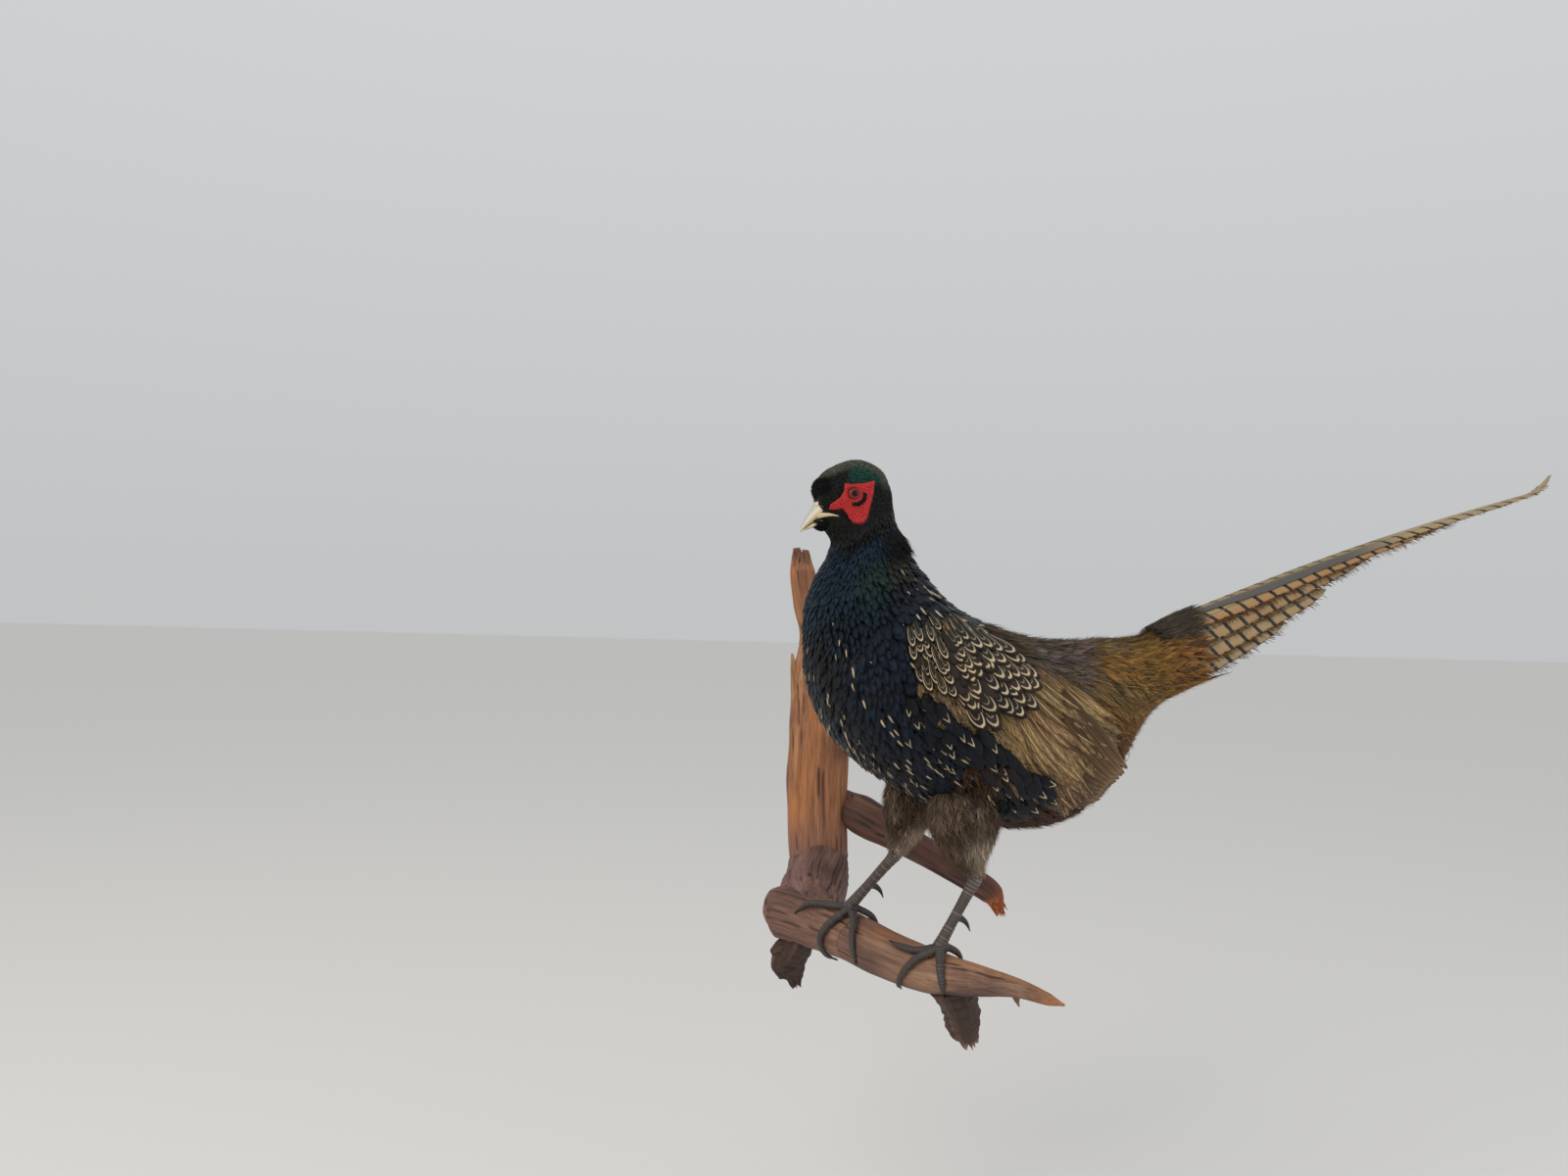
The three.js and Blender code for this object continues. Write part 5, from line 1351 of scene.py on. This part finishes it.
def tailCoverts():  # grey-brown coverts fanning over the tail root
    n = tailSizes["coverts"]
    s, slope = -rng.uniform(-14, 4, n), rng.uniform(-24, 24, n)
    roots = dict(s=s * mm, a=slope * mm, uv=np.stack([0.5 + slope / 140, 0.02 + (14 - s) / 430], -1))
    coat("upper_tail_vanes", roots | dict(
        length=mix(22, 40, rng.random(n)) * mm * mix(1, 0.55, np.abs(slope) / 24), half=2.6 * mm,
        base=0.3 * mm, rise=0.05 + 0.05 * rng.random(n), lie=0.12 * bell(n),
        bend=0.05 * bell(n), tint=varied(tailColours["covert"], n, 0.35),
        tipTint=varied(tailColours["covertTip"], n, 0.3)),
        softVanes, covertLook, "brown_plumage", ("upper_tail_coverts",), tailSurface)
    many = np.repeat(np.arange(n), 8)
    rows = len(many)
    barbCoat("upper_tail_barbs", dict(
        s=roots["s"][many] + 4 * mm * bell(rows),
        a=roots["a"][many] + 3 * mm * bell(rows), uv=roots["uv"][many],
        length=mix(14, 34, rng.random(rows)) * mm, half=0.25 * mm, base=0.8 * mm,
        rise=0.03 + 0.1 * rng.random(rows) ** 2, lie=0.25 * bell(rows),
        bend=0.12 * bell(rows), tint=varied(tailColours["covertBarb"], rows, 0.45)),
        "brown_plumage", surface=tailSurface)


makeTail()
tailFringe()
tailCoverts()


def underPoint(s, a):  # oval lobe in the hollow under the tail root, s metres ahead of the root
    along = np.clip(-s / mm, -20, 130)
    share = along / 100
    top, low, half = mix(16, 20, share), mix(64, 34, share), mix(5.5, 2, share)
    drop = (top + low) / 2 + (low - top) / 2 * np.cos(a)
    ridge = tailPoint(along, 0 * a, drop)
    outward = unit((tailPoint(along, 0 * a + 1.0, drop) - tailPoint(along, 0 * a, drop)) * [1, 1, 0])
    return ridge + outward * (half * mm * np.sin(a))[..., None]


def underSurface(s, a):  # with its normals out from the lobe's middle
    here, out, alongS, alongA = surfaceWithNormal(underPoint, s, a, 0.0005, 0.02)
    middle = (underPoint(s, 0 * a) + underPoint(s, 0 * a + np.pi)) / 2
    return here, out * np.sign(np.sum((here - middle) * out)), alongS, alongA


def underCoverts():  # soft rusty barbs of the under tail coverts
    n = 2600
    s, a = -rng.uniform(-6, 78, n) * mm, rng.uniform(-np.pi, np.pi, n)
    barbCoat("under_tail_barbs", dict(
        s=s, a=a, uv=np.stack([0.5 + a / 7, 0.1 - s / 0.15], -1), length=mix(14, 30, rng.random(n)) * mm,
        half=0.4 * mm, base=-1.5 * mm, rise=0.06 + 0.1 * rng.random(n), lie=0.3 * bell(n),
        bend=0.1 * bell(n),
        tint=mix(varied("#6b4526", n, 0.3), varied("#4a382a", n, 0.3), rng.random((n, 1)))),
        "brown_plumage", ("under_tail_coverts",), underSurface)


underCoverts()


def curveAt(points, t):  # smooth path through points, spaced by the root of their distance
    points = np.asarray(points, float)
    padded = np.concatenate([[2 * points[0] - points[1]], points, [2 * points[-1] - points[-2]]])
    place = np.clip(t, 0, 1) * (len(points) - 1)
    row = np.clip(np.floor(place).astype(int), 0, len(points) - 2)
    w = (place - row)[..., None]
    p0, p1, p2, p3 = [padded[row + k] for k in range(4)]
    gaps = ((p0, p1), (p1, p2), (p2, p3))
    d0, d1, d2 = [np.sqrt(np.linalg.norm(b - a, axis=-1, keepdims=True)) for a, b in gaps]
    m1 = ((p1 - p0) / d0 - (p2 - p0) / (d0 + d1) + (p2 - p1) / d1) * d1
    m2 = ((p2 - p1) / d1 - (p3 - p1) / (d1 + d2) + (p3 - p2) / d2) * d1
    value = p1 + m1 * w + (-3 * p1 + 3 * p2 - 2 * m1 - m2) * w**2 + (2 * p1 - 2 * p2 + m1 + m2) * w**3
    slope = m1 + 2 * (-3 * p1 + 3 * p2 - 2 * m1 - m2) * w + 3 * (2 * p1 - 2 * p2 + m1 + m2) * w**2
    return value, unit(slope)


def limbFrame(table, t):  # centre, across, lift, ahead and radius in mm along rows [x, y, z, radius]
    centre, ahead = curveAt(table[:, :3], t)
    across = np.stack([ahead[:, 1], -ahead[:, 0], 0 * t], -1)
    upright = np.abs(ahead[:, 2]).mean() > 0.75  # one choice for a whole limb
    across = np.where(upright, [1.0, 0, 0], across)
    across = unit(across - ahead * np.sum(across * ahead, axis=1, keepdims=True))
    lift = unit(np.cross(across, ahead))
    return centre, across, lift, ahead, rowsAt(table, np.clip(t, 0, 1) * (len(table) - 1))[:, 3]


def woodLimb(table, rows, around=112, squash=1.0, uneven=0.04, span=(0, 1), ridge=0.9, crack=0.9,
             cross=0.0, jag=(0.0, 0.0), blunt=0.1, seed=0):
    # swept limb with long grain ridges, cracks and jagged ends; gives rings and grain places in mm, facts
    table = np.array(table, float)
    t = np.linspace(*span, rows)
    centre, across, lift, ahead, radius = limbFrame(table, t)
    turn = turns(around)
    along = np.concatenate([[0], np.cumsum(np.linalg.norm(np.diff(centre, axis=0), axis=1))])
    spread = 1 + uneven * (np.sin(3 * turn + 5 * t[:, None]) + 0.6 * np.sin(2 * turn - 9 * t[:, None] + 1))
    core = radius[:, None] * spread * np.sqrt(1 - 0.97 * np.clip(1 - along / blunt, 0, 1) ** 2)[:, None]
    grain = np.stack([core * np.cos(turn), core * np.sin(turn), along[:, None] + 0 * core], -1)
    twist = lumps(grain / [40, 40, 90], seed) * 0.5
    twisted = grain + twist[..., None] * [6, 6, 0]
    long = lumps(twisted / [4.5, 4.5, 60], seed + 1)
    fine = lumps(twisted / [1.5, 1.5, 26], seed + 2)
    split = lumps(twisted / [2.3, 2.3, 70], seed + 3)
    broad = lumps(grain / [16, 16, 30], seed + 4)
    ringed = lumps(grain / [9, 9, 2.6], seed + 6) * cross
    dent = ridge * (0.55 * long + 0.25 * fine + 0.7 * broad) - crack * ease(0.5, 0.72, split) + ringed
    size = np.maximum(core + dent * np.minimum(1, core / 10), 0.15)
    circle = np.stack([np.cos(turn), np.sin(turn), 0 * turn], -1)
    tear = 0.6 * lumps(circle * 3, seed + 5) + 0.5 * lumps(circle * 9, seed + 7)
    nearStart, nearEnd = ease(14, 0, along)[:, None], ease(along[-1] - 14, along[-1], along)[:, None]
    shift = (jag[0] * nearStart + jag[1] * nearEnd) * tear
    rings = (centre[:, None] + across[:, None] * (size * np.cos(turn))[..., None]
             + lift[:, None] * (size * squash * np.sin(turn))[..., None] + ahead[:, None] * shift[..., None])
    facts = dict(split=ease(0.48, 0.66, split), broad=broad, long=long, along=along[:, None] + 0 * core,
                 share=t[:, None] + 0 * core, turn=turn[None] + 0 * core)
    return rings, grain, facts


woodLook, woodTree, woodShader = newMaterial("weathered_driftwood", {  # dull dry wood, fine dark cracks
    "Roughness": 0.72})
woodTint = addNode(woodTree, "Attribute", attribute_name="tint").outputs["Color"]
woodGrain = addNode(woodTree, "Attribute", attribute_name="grain").outputs["Vector"]
stretched = addNode(woodTree, "Mapping", {0: woodGrain, 3: (1.0, 1.0, 0.045)}).outputs[0]
fibres = addNode(woodTree, "TexNoise", {
    "Vector": stretched, "Scale": 900.0, "Detail": 4.0, "Roughness": 0.65}).outputs["Fac"]
broadGrain = addNode(woodTree, "TexNoise", {
    "Vector": stretched, "Scale": 260.0, "Detail": 3.0}).outputs["Fac"]
fibreShade = addNode(woodTree, "ValToRGB", {0: fibres}, stops=[
    (0.28, (0.28, 0.24, 0.22, 1)), (0.42, (0.75, 0.72, 0.7, 1)), (0.6, (1.05, 1.05, 1.05, 1)),
    (0.75, (1.3, 1.25, 1.2, 1))]).outputs[0]
broadShade = addNode(woodTree, "ValToRGB", {0: broadGrain}, stops=[
    (0.3, (0.55, 0.5, 0.48, 1)), (0.5, (1, 1, 1, 1)), (0.7, (1.2, 1.12, 1.0, 1))]).outputs[0]
woodMix = addNode(woodTree, "Mix", {0: 0.85, 6: woodTint, 7: fibreShade},
                  data_type="RGBA", blend_type="MULTIPLY").outputs[2]
woodMix = addNode(woodTree, "Mix", {0: 0.8, 6: woodMix, 7: broadShade},
                  data_type="RGBA", blend_type="MULTIPLY").outputs[2]
woodTree.links.new(woodMix, woodShader.inputs["Base Color"])
woodBump = addNode(woodTree, "Bump", {"Strength": 0.6, "Distance": 0.0008, "Height": fibres}).outputs[0]
woodTree.links.new(woodBump, woodShader.inputs["Normal"])


def woodPiece(name, limbs, replaced):  # limbs: (rings, grain, tint)
    parts, tints, grains = [], [], []
    wall = np.array([np.inf, -0.15, np.inf])  # flat on the wall
    for rings, grain, tint in limbs:
        parts.append(closedTube(np.minimum(rings, wall) * mm))
        for store, value in ((tints, tint), (grains, grain * mm)):
            ends = [value[0].mean(0)[None], value[-1].mean(0)[None]]
            store.append(np.concatenate([value.reshape(-1, 3), *ends]))
    piece = newMesh(name, *joinParts(parts), [woodLook])
    setAttribute(piece, "tint", "FLOAT_COLOR", np.concatenate(tints))
    setAttribute(piece, "grain", "FLOAT_VECTOR", np.concatenate(grains))
    finish(piece, replaced)
    print(name, "done")


# Rows [x, y, z, radius] in mm in the mount's frame; the log's rows serve the knob, perch and feet.
logRows = [[-52, -86, -152, 14.7], [-40, -90, -150, 23], [-7, -110, -154, 22.9], [19, -148, -155, 20.4],
           [45, -185, -159, 18.9], [79, -222, -161, 17.4], [108, -248, -158, 12.2], [134, -266, -158, 7.2],
           [153, -280, -161, 4.3], [163, -286, -163, 1]]
limbSizes = dict(
    post=dict(table=[
        [-24, -14, 166, 8], [-23, -15, 150, 12], [-19, -16, 120, 12.5], [-10, -17, 90, 15], [-8, -19, 50, 22],
        [-4, -21, 0, 26.5], [-3, -23, -60, 28], [0, -25, -118, 26.8], [0, -30, -134, 22]],
        rows=230, around=120, squash=0.9, uneven=0.045, ridge=1.3, crack=1.4, jag=(8, 0), seed=1),
    splinter=dict(
        table=[[-31, -24, 74, 1.2], [-29, -25, 60, 3.4], [-25, -24, 30, 5.5], [-21, -22, -10, 6]],
        rows=60, around=30, ridge=0.8, crack=0.4, seed=21),
    collar=dict(table=[
        [0, -24, -104, 24.5], [0, -27, -120, 27.8], [-3, -46, -131, 28.5], [-11, -74, -142, 29],
        [-12, -104, -151, 21]],
        rows=110, around=120, squash=0.96, ridge=1.1, crack=1.0, cross=0.5, seed=2),
    log=dict(table=logRows, rows=130, squash=0.95, uneven=0.03, span=(0, 0.35), crack=0.8, cross=0.4,
             blunt=10, seed=3),
    perch=dict(table=logRows, rows=260, around=104, squash=0.95, uneven=0.03, span=(0.351, 1), ridge=1.0,
               crack=1.2, seed=4),
    thorn=dict(table=[[132, -262, -158, 4.2], [133, -263, -166, 2.6], [135, -264, -172, 0.5]],
               rows=24, around=20, ridge=0.3, crack=0, seed=31),
    branch=dict(table=[
        [4, -14, -56, 8], [18, -19, -62, 11], [28, -26, -69, 15], [38, -36, -75, 17.2], [69, -49, -90, 14.3],
        [104, -58, -108, 12.4], [134, -66, -124, 11.5], [153, -71, -136, 10.5], [160, -73, -151, 3.5]],
        rows=160, around=92, uneven=0.05, ridge=1.0, jag=(0, 9), seed=5),
    snag=dict(table=[
        [-16, -98, -165, 12.8], [-24, -92, -182, 13.8], [-31, -87, -195, 13], [-25, -85, -205, 9.5],
        [-22, -85, -215, 3.5]],
        rows=90, around=90, uneven=0.1, ridge=2.4, crack=1.4, cross=1.6, jag=(0, 8), seed=6),
    lump=dict(table=[[-24, -96, -176, 7], [-36, -92, -180, 6], [-44, -90, -187, 3.5]],
              rows=36, around=36, uneven=0.12, ridge=1.2, crack=0.5, cross=0.8, seed=61),
    stub=dict(table=[
        [90, -227, -168, 16.6], [98, -225, -186, 14.3], [102, -222, -200, 11.4], [108, -218, -215, 7.6]],
        rows=80, around=90, uneven=0.07, ridge=1.8, cross=1.8, jag=(0, 6), seed=7))
limbColours = dict(  # the first colour, then those laid over it
    post=["#a06c4a", "#b98a62", "#6e4632", "#c07c42", "#85645a", "#5a3a2c", "#3f281e"],
    splinter=["#b0875f", "#80563e"], collar=["#7c5d55", "#573e38", "#9a786a", "#35231d"],
    log=["#7d5c50", "#99705a", "#553c35", "#93705a", "#35231d"],
    perch=["#93705a", "#ae8d72", "#5c423a", "#b0764a", "#7d5c50", "#433c3c", "#b1784a", "#3a2620"],
    thorn=["#8f6c52", "#6b4a38"],
    branch=["#5c3c30", "#7a523f", "#46302a", "#8a6a5a", "#b4602c", "#2c1b16"],
    sliver=["#bd6a30", "#6a351c"], snag=["#3f2b23", "#6b4c3c", "#241813"], lump=["#3f2b23", "#5f4436"],
    stub=["#4f3a31", "#76584a", "#2e1f1a", "#a0785f"])


def painted(limb, colours, layers):  # rings, grain and tint: each colour laid over the last by its share
    rings, grain, facts = limb
    tint = linear(colours[0])
    for colour, share in zip(colours[1:], layers(facts)):
        tint = mix(tint, linear(colour), np.clip(share, 0, 1)[..., None])
    return rings, grain, tint


def limbOf(name, layers):  # one limb of the dictionary, painted
    return painted(woodLimb(**limbSizes[name]), limbColours[name], layers)


def logLayers(f):  # paler at its blunt end and toward the perch, dark in its cracks
    return (ease(0.09, 0.02, f["share"]) * 0.7, ease(0, 0.7, f["broad"]) * 0.8,
            ease(0.22, 0.34, f["share"]) * 0.8, f["split"] * 0.7)


def perchLayers(f):  # dark strip along its underside, painted highlight of warm orange along its upper side, warm tip, dark cracks; f: the limb's grain facts
    strip = ease(0.35, 0.95, -np.sin(f["turn"])) * ease(0.38, 0.42, f["share"])
    strip = strip * ease(0.86, 0.6, f["share"]) * ease(-0.6, 0.1, f["broad"])
    return (ease(0, 0.7, f["long"]) * 0.6, ease(-0.1, 0.6, f["broad"]) * 0.8,
            # painted highlight: warm orange along the upper side of the perch
            ease(0.1, 0.8, np.sin(f["turn"] - 0.6)) * 0.45, ease(0.44, 0.352, f["share"]) * 0.9,
            strip * 0.85, ease(0.78, 0.95, f["share"]) * 0.8, f["split"] * 0.85)


def splinters(count=16):  # at the side branch's broken end
    slivers = []
    for k in range(count):
        turn, reach = rng.uniform(0, 2 * np.pi), rng.uniform(0.2, 0.9)
        around = np.array([0.6 * np.cos(turn), np.sin(turn), 0.5 * np.cos(turn)])
        start = np.array([150, -70, -133]) + 8.5 * reach * around
        tip = start + [rng.uniform(8, 16), rng.uniform(-6, 3), rng.uniform(-21, -8)]
        sliver = woodLimb([[*start, 2.1], [*mix(start, tip, 0.5), 1.5], [*tip, 0.2]], 14, around=10,
                          ridge=0.3, crack=0, seed=40 + k)
        slivers.append(painted(sliver, limbColours["sliver"], lambda f: (ease(-0.3, 0.6, f["long"]),)))
    return slivers


def makeWood():  # six pieces of driftwood, each limb painted by its own grain
    post = limbOf("post", lambda f: (
        ease(0, 0.7, f["long"]) * 0.7, ease(0.0, 0.7, f["broad"]) * 0.75,
        ease(-0.1, -0.7, f["broad"]) * 0.6, ease(0.72, 0.92, f["share"]) * 0.85,
        ease(14, 2, f["along"]) * 0.7, f["split"] * 0.8))
    woodPiece("driftwood_post", [post, limbOf("splinter", lambda f: (f["long"] * 0.6,))], ("post",))
    collar = limbOf("collar", lambda f: (
        ease(-0.1, 0.7, f["broad"]) * 0.8, ease(0.1, 0.9, f["long"]) * 0.6, f["split"] * 0.8))
    woodPiece("driftwood_knob", [collar, limbOf("log", logLayers)], ("knob",))
    woodPiece("driftwood_perch", [limbOf("perch", perchLayers), limbOf("thorn", lambda f: (f["long"],))],
              ("perch",))
    branch = limbOf("branch", lambda f: (
        ease(0, 0.8, f["long"]) * 0.6, ease(0, 0.9, f["broad"]) * 0.7, ease(0.12, 0.02, f["share"]) * 0.8,
        ease(0.84, 0.95, f["share"]) * 0.9, f["split"] * 0.8))
    woodPiece("driftwood_branch", [branch, *splinters()], ("side_branch",))
    snag = limbOf("snag", lambda f: (ease(0.1, 0.9, f["long"]) * 0.7, ease(0, 0.8, f["broad"]) * 0.7))
    woodPiece("driftwood_snag", [snag, limbOf("lump", lambda f: (f["long"],))], ("snag",))
    stub = limbOf("stub", lambda f: (
        ease(0.1, 0.9, f["long"]) * 0.6, ease(0, 0.8, f["broad"]) * 0.7, ease(0.9, 1.0, f["share"]) * 0.9))
    woodPiece("driftwood_stub", [stub], ("stub",))


makeWood()


def onLog(share, around, lift):  # mm place on the log's skin, degrees round from its top to the front
    share, around = np.asarray(share, float), np.radians(around)
    centre, ahead = curveAt(np.array(logRows)[:, :3], share)
    front = unit(np.stack([ahead[:, 1], -ahead[:, 0], 0 * share], -1))
    up = unit(np.cross(front, ahead))
    radius = rowsAt(np.array(logRows, float), share * (len(logRows) - 1))[:, 3] + lift
    out = front * (radius * np.sin(around))[:, None] + up * (radius * np.cos(around))[:, None]
    return centre + out


legSizes = dict(scute=3.0, toeScute=2.3, pad=6.2, frontToe=3.5, hindToe=2.9, claw=0.86,
                # share from hock to ankle and radius in mm
                shank=((-0.03, 4.6), (0.04, 5.2), (0.14, 4.6), (0.6, 4.1), (0.95, 4.7), (1.06, 5.2)),
                # out behind the shank, rise and radius in mm
                spur=((1, 0.5, 3.3), (6, -1, 2.7), (11, -5, 1.7), (14.5, -11.5, 0.4)))
legColours = dict(dark="#4b403a", light="#857a72", edge="#c4bdb4", pad="#40383a", toe="#3d3532",
                  toeEdge="#857b72", claw="#1c1716")


def scaledTube(table, rows, around, pitch, depth, clawAt=None):
    # tube with overlapping cross scales on its upper side: rings in mm, pale scale edges, claw share
    t = np.linspace(0, 1, rows)
    centre, across, lift, _, radius = limbFrame(np.array(table, float), t)
    along = np.concatenate([[0], np.cumsum(np.linalg.norm(np.diff(centre, axis=0), axis=1))])
    turn = turns(around)
    step = (along / pitch) % 1
    face = 0.35 + 0.65 * ease(-0.5, 0.4, -np.sin(turn))
    scale = (step[:, None] ** 2 - 0.4) * face
    claw = ease(clawAt, clawAt + 0.03, t)[:, None] if clawAt else np.zeros((rows, 1))
    size = radius[:, None] * (1 - 0.25 * claw * ease(1.0, 0.9, t)[:, None]) + depth * scale * (1 - claw)
    rings = (centre[:, None] + across[:, None] * (size * np.cos(turn))[..., None]
             + lift[:, None] * (size * np.sin(turn))[..., None])
    edges = ease(0.75, 1.0, step)[:, None] * (1 - claw) * face
    return rings, np.broadcast_to(edges, size.shape), np.broadcast_to(claw, size.shape)


def legMaterial():  # horny grey-brown scales, paler at their edges
    material, tree, shader = newMaterial("leg_scales", {"Roughness": 0.48})
    tint = addNode(tree, "Attribute", attribute_name="tint").outputs["Color"]
    cells = addNode(tree, "TexVoronoi", {"Scale": 900.0}, feature="DISTANCE_TO_EDGE").outputs["Distance"]
    edge = addNode(tree, "MapRange", {"Value": cells, "From Max": 0.25, "To Min": 0.7, "To Max": 1.05})
    shade = addNode(tree, "VectorMath", {0: tint, "Scale": edge.outputs[0]}, operation="SCALE").outputs[0]
    tree.links.new(shade, shader.inputs["Base Color"])
    bump = addNode(tree, "Bump", {"Strength": 0.5, "Distance": 0.0003, "Height": cells}).outputs[0]
    tree.links.new(bump, shader.inputs["Normal"])
    return material


def toe(places, last):  # a toe's rings and tint: from the pad along the log to its claw
    thick = legSizes["hindToe"] if last else legSizes["frontToe"]
    radii = [0.7 if k == len(places) - 1 else thick * (1 - 0.14 * k) for k in range(len(places))]
    lifts = [6 if k == 0 else radii[k] + 0.4 for k in range(len(places))]
    table = [[*onLog([place[0]], place[1], lifts[k])[0], radii[k]] for k, place in enumerate(places)]
    rings, pale, claw = scaledTube(table, 110, 18, legSizes["toeScute"], 0.5,
                                   clawAt=0.8 if last else legSizes["claw"])
    tint = mix(linear(legColours["toe"]), linear(legColours["toeEdge"]), (0.55 * pale)[..., None])
    return rings, mix(tint, linear(legColours["claw"]), claw[..., None])


def makeSpur(name, hock, ankle):  # behind the shank, curved down
    back = (toMount(-1.0, 0.1, 0.0) - toMount(0.0, 0.0, 0.0)) / mm
    base = mix(hock, ankle, 0.62)
    rows = np.array([[*(base + back * out + [0, 0, rise]), radius] for out, rise, radius in legSizes["spur"]])
    centre, across, lift, _, radius = limbFrame(rows, np.linspace(0, 1, 30))
    turn = turns(18)[:, None]
    circle = across[:, None] * np.cos(turn) + lift[:, None] * np.sin(turn)
    rings = centre[:, None] + radius[:, None, None] * circle
    spur = newMesh("spur_horn_" + name, *closedTube(rings * mm), [clawHorn])
    finish(spur, ("spur_" + name,))


def makeLegs():  # shanks, pads and toes in one piece a leg, then the spurs
    scaly = legMaterial()
    for name, leg in legs.items():
        share, around = leg["foot"]
        hock, ankle = toMount(*np.array(leg["hock"], float)) / mm, onLog([share], around, 9)[0]
        shank = [[*mix(hock, ankle, part), radius] for part, radius in legSizes["shank"]]
        rings, pale, _ = scaledTube(shank, 150, 28, legSizes["scute"], 0.55)
        # painted light and shade: the shank and its scale edges are paler toward the hock, fully on the near
        # left leg and a third as much on the far right one
        high = ease(0.5, 0.05, np.linspace(0, 1, 150))[:, None] * (1.0 if name == "left" else 0.3)
        tint = mix(linear(legColours["dark"]), linear(legColours["light"]), (0.5 * high)[..., None])
        tint = mix(tint, linear(legColours["edge"]), (pale * (0.35 + 0.6 * high))[..., None])
        middle = onLog([share], around, legSizes["pad"] - 0.2)[0]
        pad, _ = polarRings(middle, legSizes["pad"], np.eye(3), rows=16, around=20)
        tubes = [(rings, tint), (pad, np.broadcast_to(linear(legColours["pad"]), pad.shape))]
        tubes += [toe(places, i == 3) for i, places in enumerate(leg["toes"])]
        piece = newMesh("leg_" + name, *joinParts([closedTube(rings * mm) for rings, _ in tubes]), [scaly])
        setAttribute(piece, "tint", "FLOAT_COLOR", np.concatenate([capped(tint) for _, tint in tubes]))
        finish(piece, ("shank_" + name, "foot_" + name))
        makeSpur(name, hock, ankle)
        print("leg_" + name, "done")


clawHorn = newMaterial("claw_horn", {"Base Color": rgba("#231d1c"), "Roughness": 0.35})[0]  # polished horn
makeLegs()

stageSizes = dict(floorHeight=-0.45, floorSize=12.0, floor="#e1dfdc", horizon=0.7, sky=0.87, air="#e3e5e6")
floorLook = newMaterial("pale_floor", {  # plain matt floor
    "Base Color": rgba(stageSizes["floor"]), "Roughness": 0.9})[0]
corners = np.array([[-1, -1, 0], [1, -1, 0], [1, 1, 0], [-1, 1, 0]]) * stageSizes["floorSize"]
floor = newMesh("floor", corners + [0, 0, stageSizes["floorHeight"]], [np.array([[0, 1, 2, 3]])], [floorLook])

world = bpy.data.worlds.new("studio")
bpy.context.scene.world = world
world.use_nodes = True
sky = world.node_tree
overhead = addNode(sky, "SeparateXYZ", {0: addNode(sky, "TexCoord").outputs["Generated"]}).outputs["Z"]
skyStrength = addNode(sky, "MapRange", {"Value": overhead, "From Min": 0.0, "From Max": 0.6,
                                        "To Min": stageSizes["horizon"], "To Max": stageSizes["sky"]})
sky.links.new(skyStrength.outputs[0], sky.nodes["Background"].inputs["Strength"])
sky.nodes["Background"].inputs["Color"].default_value = rgba(stageSizes["air"])


# Each lamp's place and width in metres, its power in watts and its colour.
lamps = dict(
    key=dict(place=(-1.2, -1.6, 1.5), size=1.6, power=26.0, colour="#fff6ea"),
    fill=dict(place=(1.6, -1.3, 0.6), size=1.6, power=7.0, colour="#e8f0ff"))
lampTarget = (0.1, -0.15, 0.05)


def addLight(name, place, size, power, colour):  # square lamp turned to the bird
    lamp = bpy.data.lights.new(name, "AREA")
    lamp.size, lamp.energy, lamp.color = size, power, linear(colour)
    holder = bpy.data.objects.new(name, lamp)
    holder.location = place
    holder.rotation_euler = (Vector(lampTarget) - Vector(place)).to_track_quat("-Z", "Y").to_euler()
    bpy.context.scene.collection.objects.link(holder)


for name, settings in lamps.items():
    addLight(name, **settings)

cameraSizes = dict(lens=28.125, sensor=36.0, clip=0.01, yaw=np.radians(2.0), roll=np.radians(1.55),
                   place=(-0.0801, -1.1688, 0.1348))
camera = bpy.data.objects.new("camera", bpy.data.cameras.new("camera"))
bpy.context.scene.collection.objects.link(camera)
bpy.context.scene.camera = camera
camera.data.lens = cameraSizes["lens"]
camera.data.sensor_width = cameraSizes["sensor"]
camera.data.clip_start = cameraSizes["clip"]
yaw, roll = cameraSizes["yaw"], cameraSizes["roll"]
ahead = np.array([np.sin(yaw), np.cos(yaw), 0])
level = np.array([np.cos(yaw), -np.sin(yaw), 0])
upright = np.array([0, 0, 1.0])
right = np.cos(roll) * level + np.sin(roll) * upright
above = -np.sin(roll) * level + np.cos(roll) * upright
place = cameraSizes["place"]
camera.matrix_world = Matrix([[right[i], above[i], -ahead[i], place[i]] for i in range(3)] + [[0, 0, 0, 1]])
print("stage, light and camera done")

bpy.context.scene.view_settings.view_transform = "Standard"
